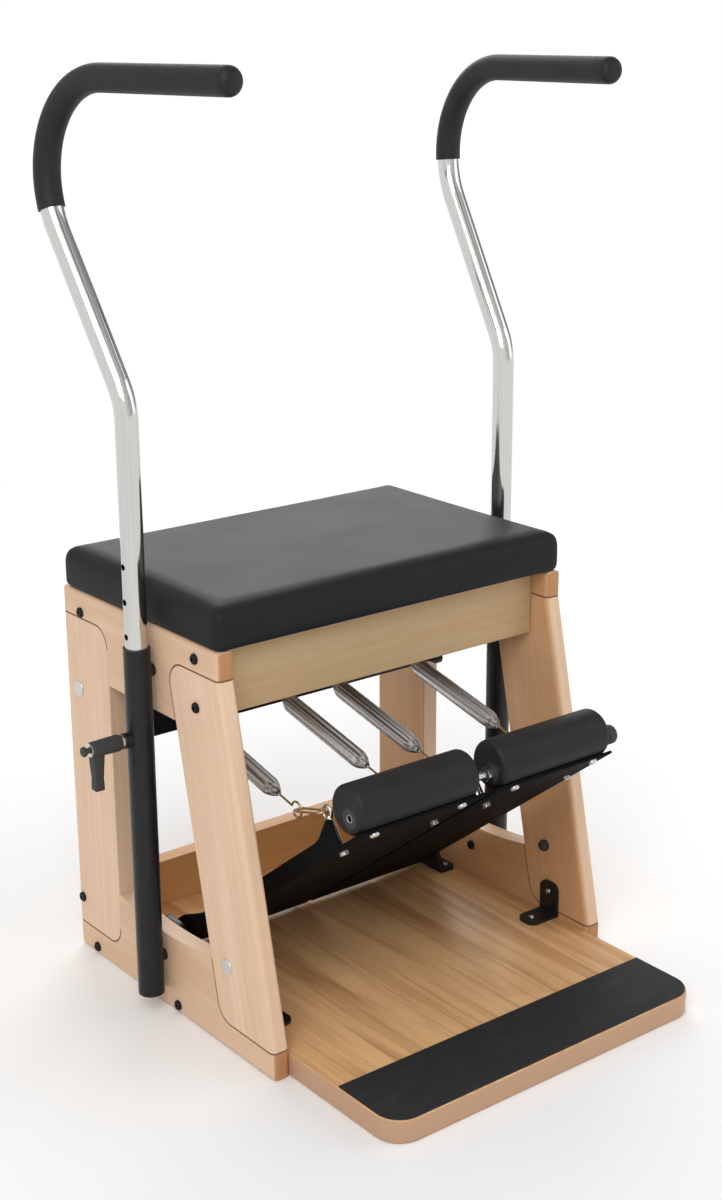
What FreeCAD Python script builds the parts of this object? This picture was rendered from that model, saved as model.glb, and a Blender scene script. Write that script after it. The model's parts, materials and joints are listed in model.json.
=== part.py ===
import FreeCAD, Part
import math
import os

Vec = FreeCAD.Vector
X_WAY = Vec(1, 0, 0)
Y_WAY = Vec(0, 1, 0)
Z_WAY = Vec(0, 0, 1)
ORIGIN = Vec(0, 0, 0)

# A pilates chair: beech side frames, a padded seat, a base board, two spring-loaded foot pedals
# and two upright handles that slide in sleeves. Millimetres. The origin is on the floor midway
# between the side frames, +X to the right as seen from the front, -Y the front, +Z up.

# Side frames
frame_width = 620.0
side_thickness = 28.0
rail_top = 584.0
rail_height = 124.0
rail_front = -160.0
rail_rear = 248.0
leg_head_drop = 39.0
leg_foot = 42.0
leg_width = 123.0
front_leg_tilt = 12.1
joint_radius = 30.0
edge_radius = 8.0
base_rail_height = 130.0
base_rail_dip = 12.0

# Boards between the side frames
apron_setback = 34.0
apron_thickness = 40.0
apron_height = 101.0
rear_apron_height = 60.0
rear_apron_inset = 32.0
base_thickness = 34.0
base_reach = 493.0
base_corner_radius = 40.0
rear_board_thickness = 28.0
rear_board_height = 74.0
strip_depth = 118.0
strip_thickness = 2.0
strip_inset = 2.0

# Seat pad
pad_rear_inset = 1.5
pad_front_inset = 0.5
pad_side_inset = 1.5
pad_height = 60.0
pad_crown = 4.0
pad_corner_radius = 15.0
pad_edge_depth = 24.0
pad_draw_in = 3.0
seat_board_inset = 9.0
seat_board_thickness = 12.0
pad_ring_height_shares = (0.0, 0.12, 0.4, 0.72, 0.88, 0.96, 1.0)
pad_ring_inset_shares = (0.2, 0.06, 0.0, 0.06, 0.22, 0.5, 0.86)
pad_crown_height_shares = (0.6, 0.9, 1.0)
pad_crown_inset_shares = (2.0, 3.2, 4.2)

# Frame bolts, screws, caps and bumpers
bolt_radius = 4.0
bolt_length = 60.0
bolt_head_radius = 7.6
bolt_head_height = 4.5
bolt_socket_radius = 2.8
bolt_socket_depth = 2.4
socket_sides = 6
dome_share = 0.7
hole_clearance = 0.1
bolt_above_rail_joint = 19.0
lower_bolt_rise = 12.0
base_bolt_height = 14.0
base_bolt_rear_inset = 52.0
base_bolt_front = -32.0
rear_board_bolt_rise = 50.0
screw_radius = 2.4
screw_length = 16.0
screw_head_radius = 4.6
screw_head_height = 2.2
screw_socket_share = 0.5
cap_radius = 12.0
cap_thickness = 2.0
rear_cap_height = 432.0
front_cap_height = 131.0
cap_front_share = 0.69
cap_rear_share = 0.71
bumper_radius = 9.0
bumper_length = 10.0
bumper_height = 145.0
bumper_share = 0.6

# Angle brackets between front legs and base board
angle_width = 38.0
angle_leg = 55.0
angle_thickness = 5.0
angle_tip_radius = 14.0
angle_front = -204.0
angle_screw_rise = 39.0

# Handle sleeves
sleeve_gap = 5.0
sleeve_diameter = 38.0
sleeve_y = 2.0
sleeve_foot = 30.0
sleeve_top = 557.0
sleeve_floor = 4.0
sleeve_boss_radius = 9.0
sleeve_bolt_low = 83.0
sleeve_bolt_high = 520.0
sleeve_bolt_tip_wall = 1.5
clamp_height = 426.0
clamp_boss_radius = 11.0
clamp_boss_length = 9.0

# Handle poles and grips
pole_diameter = 32.0
pole_wall = 2.0
pole_clearance = 0.08
pole_foot_margin = 72.0
pole_bend_height = 896.0
pole_lean = 31.8
pole_bend_radius = 90.0
grip_height = 1305.5
grip_bend_radius = 128.0
grip_front = -232.0
grip_diameter = 37.0
grip_left_bare_angle = 13.0
grip_right_bare_angle = 27.0
grip_end_wall = 6.0
grip_end_radius = 13.0
grip_toe_angle = 5.6
pole_hole_radius = 4.5
pole_hole_pitch = 49.5
pole_holes_up = 5
pole_holes_down = 2

# Clamp levers
stud_radius = 4.0
running_clearance = 0.05
stud_collar_radius = 9.0
stud_collar_length = 4.7
stud_grip_length = 14.0
hub_radius = 12.0
hub_end_radius = 10.5
hub_length = 48.0
lever_length = 52.0
lever_root_radius = 8.0
lever_end_radius = 5.5
lever_tip_radius = 7.0
button_neck_radius = 4.0
button_neck_length = 6.0
button_radius = 7.0
button_length = 6.0
side_gap = 0.3

# Spring bar under the seat
bar_front = 100.0
bar_thickness = 8.0
bar_height = 60.0
bar_bottom = 376.0
bar_plate_thickness = 8.0
bar_plate_width = 48.0
bar_plate_rise = 164.0
bar_plate_corner = 10.0
bar_plate_offset = 26.0
bar_screw_shares = (0.25, 0.75)
staple_radius = 2.5
staple_reach = 16.0
staple_half_width = 9.0

# Springs and their hooks
spring_spots = {"inner": 48.0, "outer": 204.0}
spring_diameter = 27.0
spring_wire = 3.0
spring_turns = 25
spring_taper_turns = 2.5
spring_end_radius = 5.5
spring_start = 22.0
spring_turn_in = 11.0
hook_wire = 3.2
upper_eye_radius = 4.7
hook_radius = 11.0
hook_sweep_angle = 300.0
hook_shank = 28.5

# Pedals
pivot_y = 80.0
pivot_height = 60.0
pedal_rest_angle = 37.8
pedal_reach = 524.0
pedal_inner = 8.0
pedal_outer = 230.0
pan_thickness = 4.0
pan_lip = 11.0
flange_height = 25.0
flange_pad_gap = 3.0
flange_rise = 18.0
flange_rise_run = 44.0
flange_heel_run = 70.0
flange_corner_radius = 8.0
pivot_tube_radius = 18.0
weld_overlap = 1.0
bush_wall = 5.0
bush_length = 20.0
bush_collar_length = 9.7
bush_collar_radius = 15.5
axle_radius = 8.0
axle_stand_out = 4.0

# Foot pads on the pedals
foot_pad_gap = 42.0
foot_pad_length = 204.0
foot_pad_radius = 35.0
foot_pad_end_radius = 12.0
core_radius = 14.0
core_drop = 11.0
core_clearance = 0.1
neck_radius = 9.5
neck_setback = 1.0
pad_bolt_inset = 27.0
pad_bolt_depth_share = 0.8
pad_bolt_head_radius = 7.0
pad_bolt_head_height = 5.0

# Pedal-linking dowel
dowel_radius = 6.0
dowel_clearance = 0.08
dowel_tip_gap = 2.0
knob_stand_off = 12.0
knob_radius = 14.0
knob_length = 18.0
knob_round = 5.0
knob_socket = 8.0

# Spring eyes and links on the pedals
eye_setback = 73.0
eye_height = 53.0
eye_radius = 9.0
eye_wire = 5.0
eye_nut_radius = 6.5
eye_nut_height = 5.0
link_half_width = 8.0
link_wire = 3.5
link_length = 68.0
link_droop = 16.0

# Pivot brackets on the base board
bracket_web = 8.0
bracket_base_length = 104.0
bracket_flange = 24.0
bracket_flange_thickness = 6.0
bracket_head_radius = 26.0
bracket_corner_radius = 11.0
bracket_screw_inset = 14.0

# One overrun serves all cuts
overrun = 5.0
tiny = 1e-4

# Worked-out places
outer_face = frame_width / 2
inner_face = outer_face - side_thickness
rail_bottom = rail_top - rail_height
leg_top = rail_top - leg_head_drop
rear_leg_front = rail_rear - leg_width
front_leg_span = leg_width / math.cos(math.radians(front_leg_tilt))
apron_front = rail_front + apron_setback
apron_middle = apron_front + apron_thickness / 2
rear_apron_middle = rail_rear - rear_apron_inset - apron_thickness / 2
sleeve_radius = sleeve_diameter / 2
sleeve_x = outer_face + sleeve_gap + sleeve_radius
pole_radius = pole_diameter / 2
pole_bore_radius = pole_radius - pole_wall
pole_foot = clamp_height - pole_holes_down * pole_hole_pitch - pole_foot_margin
sleeve_bore_radius = pole_radius + pole_clearance
spring_anchor = Vec(0, bar_front - staple_reach, bar_bottom + bar_height / 2)
foot_pad_inner = foot_pad_gap / 2
foot_pad_outer = foot_pad_inner + foot_pad_length
neck_end = pedal_inner + neck_setback
pan_top = weld_overlap - pivot_tube_radius
pan_bottom = pan_top - pan_thickness
foot_pad_height = pan_top + foot_pad_radius + side_gap
core_height = foot_pad_height - core_drop
bush_radius = axle_radius + bush_wall
bracket_inner = pedal_outer + bush_collar_length + side_gap
pad_bolt_spots = (foot_pad_inner + pad_bolt_inset, foot_pad_outer - pad_bolt_inset)

# Bolts and screws as head radius, head height, shank radius, socket radius and socket depth
frame_bolt = (bolt_head_radius, bolt_head_height, bolt_radius, bolt_socket_radius, bolt_socket_depth)
pad_bolt = (pad_bolt_head_radius, pad_bolt_head_height, bolt_radius, bolt_socket_radius, bolt_socket_depth)
wood_screw = (
    screw_head_radius,
    screw_head_height,
    screw_radius,
    screw_head_radius * screw_socket_share,
    screw_head_height * screw_socket_share,
)

# Places of the bolts through the outer face, as (y, z)
frame_bolt_places = {
    "apron_top": (apron_middle, leg_top + bolt_above_rail_joint),
    "apron_low": (apron_middle, rail_top - apron_height + lower_bolt_rise),
    "rear_apron": (rear_apron_middle, rail_top - rear_apron_height / 2),
    "rear_board": (rail_rear - rear_board_thickness / 2, base_thickness + rear_board_bolt_rise),
    "base_rear": (rail_rear - base_bolt_rear_inset, base_bolt_height),
    "base_front": (base_bolt_front, base_bolt_height),
}


def front_leg_edge(height):
    """Front edge of the slanted front leg at a height."""
    return rail_front - (leg_top - height) * math.tan(math.radians(front_leg_tilt))


def box(low, high):
    """Block between two opposite corners."""
    size = high - low
    return Part.makeBox(size.x, size.y, size.z, low)


def rod(start, end, radius):
    """Round bar from one point to another."""
    run = end - start
    return Part.makeCylinder(radius, run.Length, start, run)


def rounded_edges(points, closed):
    """Lines and arcs through points given as (place, corner radius)."""
    count = len(points)
    starts = []
    ends = []
    middles = []
    for index, (place, radius) in enumerate(points):
        inside = closed or 0 < index < count - 1
        if not inside or radius == 0:
            starts.append(place)
            ends.append(place)
            middles.append(None)
            continue
        before = (points[index - 1][0] - place).normalize()
        after = (points[(index + 1) % count][0] - place).normalize()
        half = before.getAngle(after) / 2
        bisector = (before + after).normalize()
        reach = radius / math.tan(half)
        centre = place + bisector * (radius / math.sin(half))
        starts.append(place + before * reach)
        ends.append(place + after * reach)
        middles.append(centre - bisector * radius)
    edges = []
    for index in range(count):
        if middles[index] is not None:
            arc = Part.Arc(starts[index], middles[index], ends[index])
            edges.append(arc.toShape())
        following = (index + 1) % count
        if following == 0 and not closed:
            continue
        if (starts[following] - ends[index]).Length > tiny:
            edges.append(Part.LineSegment(ends[index], starts[following]).toShape())
    return edges


def slab_x(outline, x_low, thickness):
    """Plate with an outline of (y, z, corner radius), extruded along X."""
    points = [(Vec(x_low, y, z), radius) for y, z, radius in outline]
    face = Part.Face(Part.Wire(rounded_edges(points, True)))
    return face.extrude(X_WAY * thickness)


def slab_z(outline, z_low, thickness):
    """Plate with an outline of (x, y, corner radius), extruded upwards."""
    points = [(Vec(x, y, z_low), radius) for x, y, radius in outline]
    face = Part.Face(Part.Wire(rounded_edges(points, True)))
    return face.extrude(Z_WAY * thickness)


def tube_along(path, radius):
    """Round bar along a wire of tangent lines and arcs."""
    first = path.OrderedEdges[0]
    start = first.valueAt(first.FirstParameter)
    way = first.tangentAt(first.FirstParameter)
    profile = Part.Wire(Part.Circle(start, way, radius).toShape())
    return path.makePipeShell([profile], True, False)


def ease(shape, radius, wanted):
    """Round the edges for which wanted is true."""
    return shape.makeFillet(radius, [edge for edge in shape.Edges if wanted(edge)])


def runs_up_at(distance):
    """Test for an edge in one YZ plane whose ends both lie where distance is zero."""

    def test(edge):
        ends = [vertex.Point for vertex in edge.Vertexes]
        if len(ends) < 2 or abs(ends[0].x - ends[1].x) > tiny:
            return False
        return all(abs(distance(end)) < tiny for end in ends)

    return test


def circle_at(axis, place):
    """Test for a full circle in the plane square to an axis at a place along it."""

    def test(edge):
        curve = edge.Curve
        if not isinstance(curve, Part.Circle) or not edge.isClosed():
            return False
        return abs(curve.Center.dot(axis) - place) < tiny

    return test


def mirrored(shape):
    """The same piece on the other side of the chair."""
    return shape.mirror(ORIGIN, X_WAY)


def save(name, *solids):
    """Write one node."""
    shape = solids[0] if len(solids) == 1 else Part.makeCompound(list(solids))
    shape.exportStep(os.path.join("parts", name + ".step"))


def save_pair(name, *solids):
    """Write a right-hand node and its mirrored left-hand twin."""
    save("right_" + name, *solids)
    save("left_" + name, *[mirrored(solid) for solid in solids])


def domed_bolt(seat, way, sizes, length):
    """Domed cap screw: its head stands on the seat, its shank runs the other way."""
    head_radius, head_height, shank_radius, socket_radius, socket_depth = sizes
    head = Part.makeCylinder(head_radius, head_height, seat, way)
    top = seat.dot(way) + head_height
    head = ease(head, head_height * dome_share, circle_at(way, top))
    shank = rod(seat, seat - way * length, shank_radius)
    socket_seat = seat + way * (head_height - socket_depth)
    side = way.cross(Y_WAY if abs(way.y) < dome_share else X_WAY).normalize()
    other = way.cross(side)
    corners = []
    for step in range(socket_sides + 1):
        turn = 2 * math.pi * step / socket_sides
        corners.append(socket_seat + (side * math.cos(turn) + other * math.sin(turn)) * socket_radius)
    socket = Part.Face(Part.makePolygon(corners)).extrude(way * (socket_depth + overrun))
    return head.fuse(shank).removeSplitter().cut(socket)


def bored(shape, start, end, radius):
    """Drill a round hole."""
    return shape.cut(rod(start, end, radius))


# Side frame of the right side
def side_frame():
    """Front leg, rear leg, top rail and bottom rail, let into each other flush."""
    foot_front = front_leg_edge(leg_foot)
    head_rear = front_leg_edge(leg_top) + front_leg_span
    front_leg = slab_x(
        [
            (rail_front, leg_top, 0),
            (foot_front, leg_foot, 0),
            (foot_front + front_leg_span, leg_foot, joint_radius),
            (head_rear, leg_top, joint_radius),
        ],
        inner_face,
        side_thickness,
    )
    rear_leg = slab_x(
        [
            (rear_leg_front, leg_foot, joint_radius),
            (rail_rear, leg_foot, 0),
            (rail_rear, leg_top, 0),
            (rear_leg_front, leg_top, joint_radius),
        ],
        inner_face,
        side_thickness,
    )
    top_rail = box(Vec(inner_face, rail_front, rail_bottom), Vec(outer_face, rail_rear, rail_top))
    top_rail = top_rail.cut(front_leg).cut(rear_leg)

    leg_middle = foot_front + front_leg_span / 2
    arc_front = front_leg_edge(base_rail_height) + front_leg_span
    arc_middle = (arc_front + rear_leg_front) / 2
    corners = [
        (leg_middle, base_rail_height),
        (leg_middle, leg_foot),
        (foot_front, leg_foot),
        (foot_front, 0),
        (rail_rear, 0),
        (rail_rear, base_rail_height),
        (rear_leg_front, base_rail_height),
    ]
    places = [Vec(inner_face, y, z) for y, z in corners]
    edges = [Part.LineSegment(a, b).toShape() for a, b in zip(places, places[1:])]
    dip = Vec(inner_face, arc_middle, base_rail_height - base_rail_dip)
    arc_end = Vec(inner_face, arc_front, base_rail_height)
    edges.append(Part.Arc(places[-1], dip, arc_end).toShape())
    edges.append(Part.LineSegment(arc_end, places[0]).toShape())
    bottom_rail = Part.Face(Part.Wire(edges)).extrude(X_WAY * side_thickness)
    bottom_rail = bottom_rail.cut(front_leg).cut(rear_leg)

    front_leg = ease(front_leg, edge_radius, runs_up_at(lambda p: p.y - front_leg_edge(p.z)))
    rear_leg = ease(rear_leg, edge_radius, runs_up_at(lambda p: p.y - rail_rear))
    top_rail = ease(top_rail, edge_radius, runs_up_at(lambda p: (p.y - rail_front) * (p.y - rail_rear)))
    front_or_rear = runs_up_at(lambda p: (p.y - foot_front) * (p.y - rail_rear))
    bottom_rail = ease(bottom_rail, edge_radius, front_or_rear)
    return front_leg, rear_leg, top_rail, bottom_rail


def bolt_holes(shape):
    """Clear every frame bolt's hole out of a wooden piece, on both sides."""
    for y, z in frame_bolt_places.values():
        for sign in (1, -1):
            start = Vec(sign * (outer_face + overrun), y, z)
            end = Vec(sign * (outer_face - bolt_length - hole_clearance), y, z)
            shape = bored(shape, start, end, bolt_radius + hole_clearance)
    return shape


def cap_places():
    """Middles of the two plain caps on the outer face, as (y, z)."""
    front = front_leg_edge(front_cap_height) + front_leg_span * cap_front_share
    rear = rear_leg_front + leg_width * cap_rear_share
    return [(front, front_cap_height), (rear, rear_cap_height)]


def sleeve_bolt_holes(shape):
    """Clear the sleeve bolts' holes out of a rail."""
    for z in (sleeve_bolt_low, sleeve_bolt_high):
        start = Vec(inner_face - overrun, sleeve_y, z)
        shape = bored(shape, start, Vec(outer_face + overrun, sleeve_y, z), bolt_radius + hole_clearance)
    return shape


def bracket_screw_places():
    """Seats and ways of the wood screws of the right side."""
    angle_middle = angle_front + angle_width / 2
    seats = [
        (Vec(inner_face - angle_thickness, angle_middle, base_thickness + angle_screw_rise), X_WAY * -1),
        (Vec(inner_face - angle_screw_rise, angle_middle, base_thickness + angle_thickness), Z_WAY),
    ]
    flange_middle = bracket_inner + bracket_web + bracket_flange / 2
    for sign in (1, -1):
        y = pivot_y + sign * (bracket_base_length / 2 - bracket_screw_inset)
        seats.append((Vec(flange_middle, y, base_thickness + bracket_flange_thickness), Z_WAY))
    plate_middle = bar_front - bar_plate_width / 2 + bar_plate_offset
    for share in bar_screw_shares:
        z = rail_bottom + (bar_bottom + bar_plate_rise - rail_bottom) * share
        seats.append((Vec(inner_face - bar_plate_thickness, plate_middle, z), X_WAY * -1))
    return seats


def screw_holes(shape, radius):
    """Clear the wood screws' holes out of a piece, on both sides."""
    for seat, way in bracket_screw_places():
        hole = rod(seat + way * tiny, seat - way * (screw_length + hole_clearance), radius)
        shape = shape.cut(hole).cut(mirrored(hole))
    return shape


# Wooden structure
def build_wood():
    front_leg, rear_leg, top_rail, bottom_rail = side_frame()
    sides = {
        "front_leg": front_leg,
        "rear_leg": rear_leg,
        "top_rail": sleeve_bolt_holes(top_rail),
        "bottom_rail": sleeve_bolt_holes(bottom_rail),
    }
    for name, shape in sides.items():
        save_pair(name, screw_holes(bolt_holes(shape), screw_radius + hole_clearance))

    apron = box(
        Vec(-inner_face, apron_front, rail_top - apron_height),
        Vec(inner_face, apron_front + apron_thickness, rail_top),
    )
    save("front_apron", bolt_holes(apron))
    rear_apron = box(
        Vec(-inner_face, rear_apron_middle - apron_thickness / 2, rail_top - rear_apron_height),
        Vec(inner_face, rear_apron_middle + apron_thickness / 2, rail_top),
    )
    save("rear_apron", bolt_holes(rear_apron))
    rear_board = box(
        Vec(-inner_face, rail_rear - rear_board_thickness, base_thickness),
        Vec(inner_face, rail_rear, base_thickness + rear_board_height),
    )
    save("rear_board", bolt_holes(rear_board))

    base = slab_z(
        [
            (-inner_face, -base_reach, base_corner_radius),
            (inner_face, -base_reach, base_corner_radius),
            (inner_face, rail_rear, 0),
            (-inner_face, rail_rear, 0),
        ],
        0,
        base_thickness,
    )
    save("base_board", screw_holes(bolt_holes(base), screw_radius + hole_clearance))
    strip_side = inner_face - strip_inset
    strip_front = strip_inset - base_reach
    strip = slab_z(
        [
            (-strip_side, strip_front, base_corner_radius - strip_inset),
            (strip_side, strip_front, base_corner_radius - strip_inset),
            (strip_side, strip_front + strip_depth, 0),
            (-strip_side, strip_front + strip_depth, 0),
        ],
        base_thickness,
        strip_thickness,
    )
    save("base_grip_strip", strip)


# Seat pad
def pad_ring(height, inset):
    """One level line of the seat pad: four drawn-in sides and four round corners."""
    half_x = outer_face - pad_side_inset - inset
    front = rail_front + pad_front_inset + inset
    rear = rail_rear - pad_rear_inset - inset
    left, right = -half_x, half_x
    middle_y = (front + rear) / 2
    turn = pad_corner_radius
    diagonal = turn * (1 - math.sqrt(2) / 2)
    corners = [(right, front, -1, 1), (right, rear, -1, -1), (left, rear, 1, -1), (left, front, 1, 1)]
    sides = [
        Vec(right - pad_draw_in, middle_y, height),
        Vec(0, rear - pad_draw_in, height),
        Vec(left + pad_draw_in, middle_y, height),
        Vec(0, front + pad_draw_in, height),
    ]
    edges = []
    along_x_first = (True, False, True, False)
    points = []
    for (x, y, in_x, in_y), x_first in zip(corners, along_x_first):
        on_x = Vec(x + in_x * turn, y, height)
        on_y = Vec(x, y + in_y * turn, height)
        bulge = Vec(x + in_x * diagonal, y + in_y * diagonal, height)
        points.append((on_x, bulge, on_y) if x_first else (on_y, bulge, on_x))
    for index, (start, bulge, end) in enumerate(points):
        edges.append(Part.Arc(start, bulge, end).toShape())
        edges.append(Part.Arc(end, sides[index], points[(index + 1) % 4][0]).toShape())
    return Part.Wire(edges)


def build_seat():
    rings = []
    for height_share, inset_share in zip(pad_ring_height_shares, pad_ring_inset_shares):
        rings.append(pad_ring(rail_top + pad_height * height_share, pad_edge_depth * inset_share))
    for height_share, inset_share in zip(pad_crown_height_shares, pad_crown_inset_shares):
        height = rail_top + pad_height + pad_crown * height_share
        rings.append(pad_ring(height, pad_edge_depth * inset_share))
    cushion = Part.makeLoft(rings, True, True)
    board_inset = pad_edge_depth * pad_ring_inset_shares[0] + seat_board_inset
    half_x = outer_face - pad_side_inset - board_inset
    front = rail_front + pad_front_inset + board_inset
    rear = rail_rear - pad_rear_inset - board_inset
    corner = pad_corner_radius - seat_board_inset
    board = slab_z(
        [(-half_x, front, corner), (half_x, front, corner), (half_x, rear, corner), (-half_x, rear, corner)],
        rail_top,
        seat_board_thickness,
    )
    save("seat_board", board)
    save("seat_cushion", cushion.cut(board))


# Fasteners and small fittings of the frame
def build_fittings():
    bolts = []
    for y, z in frame_bolt_places.values():
        bolts.append(domed_bolt(Vec(outer_face, y, z), X_WAY, frame_bolt, bolt_length))
    save("frame_bolts", *bolts, *[mirrored(bolt) for bolt in bolts])

    caps = []
    for y, z in cap_places():
        cap = rod(Vec(outer_face, y, z), Vec(outer_face + cap_thickness, y, z), cap_radius)
        caps.append(ease(cap, cap_thickness * dome_share, circle_at(X_WAY, outer_face + cap_thickness)))
    save("cover_caps", *caps, *[mirrored(cap) for cap in caps])

    bumper_y = front_leg_edge(bumper_height) + front_leg_span * bumper_share
    bumper_tip = Vec(inner_face - bumper_length, bumper_y, bumper_height)
    bumper = rod(Vec(inner_face, bumper_y, bumper_height), bumper_tip, bumper_radius)
    bumper = ease(bumper, bumper_length * bumper_share, circle_at(X_WAY, bumper_tip.x))
    save("leg_bumpers", bumper, mirrored(bumper))

    screws = [domed_bolt(seat, way, wood_screw, screw_length) for seat, way in bracket_screw_places()]
    save("wood_screws", *screws, *[mirrored(screw) for screw in screws])

    rear = angle_front + angle_width
    wall = slab_x(
        [
            (angle_front, base_thickness, 0),
            (rear, base_thickness, 0),
            (rear, base_thickness + angle_leg, angle_tip_radius),
            (angle_front, base_thickness + angle_leg, angle_tip_radius),
        ],
        inner_face - angle_thickness,
        angle_thickness,
    )
    foot = slab_z(
        [
            (inner_face - angle_leg, angle_front, angle_tip_radius),
            (inner_face, angle_front, 0),
            (inner_face, rear, 0),
            (inner_face - angle_leg, rear, angle_tip_radius),
        ],
        base_thickness,
        angle_thickness,
    )
    angle = screw_holes(wall.fuse(foot).removeSplitter(), screw_radius + hole_clearance)
    save("leg_angles", angle, mirrored(angle))


# Handle sleeves, poles, grips and clamp levers
def build_sleeve():
    axis_foot = Vec(sleeve_x, sleeve_y, sleeve_foot)
    axis_top = Vec(sleeve_x, sleeve_y, sleeve_top)
    sleeve = rod(axis_foot, axis_top, sleeve_radius)
    bolt_tip = sleeve_x - sleeve_bore_radius - sleeve_bolt_tip_wall
    for z in (sleeve_bolt_low, sleeve_bolt_high):
        boss = rod(Vec(outer_face, sleeve_y, z), Vec(sleeve_x, sleeve_y, z), sleeve_boss_radius)
        sleeve = sleeve.fuse(boss)
    boss_end = sleeve_x + sleeve_radius + clamp_boss_length
    clamp_middle = Vec(sleeve_x, sleeve_y, clamp_height)
    clamp_end = Vec(boss_end, sleeve_y, clamp_height)
    sleeve = sleeve.fuse(rod(clamp_middle, clamp_end, clamp_boss_radius))
    bore_floor = axis_foot + Z_WAY * sleeve_floor
    sleeve = bored(sleeve, bore_floor, axis_top + Z_WAY * overrun, sleeve_bore_radius)
    bolts = []
    for z in (sleeve_bolt_low, sleeve_bolt_high):
        seat = Vec(inner_face, sleeve_y, z)
        tip = Vec(bolt_tip, sleeve_y, z)
        sleeve = bored(sleeve, seat, tip + X_WAY * hole_clearance, bolt_radius + hole_clearance)
        bolts.append(domed_bolt(seat, X_WAY * -1, frame_bolt, bolt_tip - inner_face))
    stud_way = clamp_end + X_WAY * overrun
    sleeve = bored(sleeve, clamp_middle, stud_way, stud_radius + running_clearance)
    save_pair("handle_sleeve", sleeve)
    save("sleeve_bolts", *bolts, *[mirrored(bolt) for bolt in bolts])


def handle_point(back, height):
    """Point in the plane of a handle pole, before the pole is turned in."""
    return Vec(sleeve_x, sleeve_y + back, height)


def build_pole():
    elbow_back = (grip_height - pole_bend_height) * math.tan(math.radians(pole_lean))
    foot = handle_point(0, pole_foot)
    bend = handle_point(0, pole_bend_height)
    elbow = handle_point(elbow_back, grip_height)
    front = Vec(sleeve_x, grip_front, grip_height)
    path = Part.Wire(
        rounded_edges([(foot, 0), (bend, pole_bend_radius), (elbow, grip_bend_radius), (front, 0)], False)
    )
    pole = tube_along(path, pole_radius).cut(tube_along(path, pole_bore_radius))

    turn = math.radians(90 + pole_lean)
    arc_top = elbow - Y_WAY * (grip_bend_radius * math.tan(turn / 2))
    arc_centre = arc_top - Z_WAY * grip_bend_radius

    def on_elbow(angle):
        """Point on the middle line of the elbow, its angle counted back from the level part."""
        return arc_centre + (Y_WAY * math.sin(angle) + Z_WAY * math.cos(angle)) * grip_bend_radius

    def elbow_path(sweep, end):
        """Middle line of part of the elbow and of the level part up to an end."""
        arc = Part.Arc(on_elbow(sweep), on_elbow(sweep / 2), arc_top)
        return Part.Wire([arc.toShape(), Part.LineSegment(arc_top, end).toShape()])

    axis_foot = Vec(sleeve_x, sleeve_y, 0)
    grip_end = front - Y_WAY * grip_end_wall
    for side, bare_angle in (("left", grip_left_bare_angle), ("right", grip_right_bare_angle)):
        sweep = turn - math.radians(bare_angle)
        core_path = elbow_path(sweep + overrun / grip_bend_radius, front)
        grip = tube_along(elbow_path(sweep, grip_end), grip_diameter / 2)
        grip = ease(grip, grip_end_radius, circle_at(Y_WAY, grip_end.y))
        grip = grip.cut(tube_along(core_path, pole_radius + hole_clearance))
        grip.rotate(axis_foot, Z_WAY, -grip_toe_angle)
        save(side + "_handle_grip", grip if side == "right" else mirrored(grip))

    pole.rotate(axis_foot, Z_WAY, -grip_toe_angle)
    for step in range(-pole_holes_down, pole_holes_up + 1):
        z = clamp_height + step * pole_hole_pitch
        inside = Vec(sleeve_x, sleeve_y, z)
        pole = bored(pole, inside, inside + X_WAY * (pole_radius + overrun), pole_hole_radius)
    save_pair("handle_pole", pole)


def build_lever():
    stud_tip = sleeve_x + pole_radius + side_gap
    collar_low = sleeve_x + sleeve_radius + clamp_boss_length + side_gap
    hub_low = collar_low + stud_collar_length
    hub_high = hub_low + hub_length

    def on_axis(x):
        return Vec(x, sleeve_y, clamp_height)

    stud = rod(on_axis(stud_tip), on_axis(hub_low + stud_grip_length), stud_radius)
    stud = stud.fuse(rod(on_axis(collar_low), on_axis(hub_low), stud_collar_radius)).removeSplitter()
    hub = Part.makeCone(hub_radius, hub_end_radius, hub_length, on_axis(hub_low), X_WAY)
    neck_end = hub_high + button_neck_length
    hub = hub.fuse(rod(on_axis(hub_high), on_axis(neck_end), button_neck_radius))
    hub = hub.fuse(rod(on_axis(neck_end), on_axis(neck_end + button_length), button_radius))
    root = on_axis(hub_high - lever_root_radius - side_gap)
    arm = Part.makeCone(lever_root_radius, lever_end_radius, lever_length, root, Z_WAY * -1)
    tip = Part.makeSphere(lever_tip_radius, root - Z_WAY * lever_length)
    lever = hub.fuse(arm).fuse(tip).removeSplitter()
    socket_end = on_axis(hub_low + stud_grip_length + hole_clearance)
    lever = bored(lever, on_axis(hub_low - overrun), socket_end, stud_radius + running_clearance)
    save_pair("lever_stud", stud)
    save_pair("clamp_lever", lever)


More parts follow.
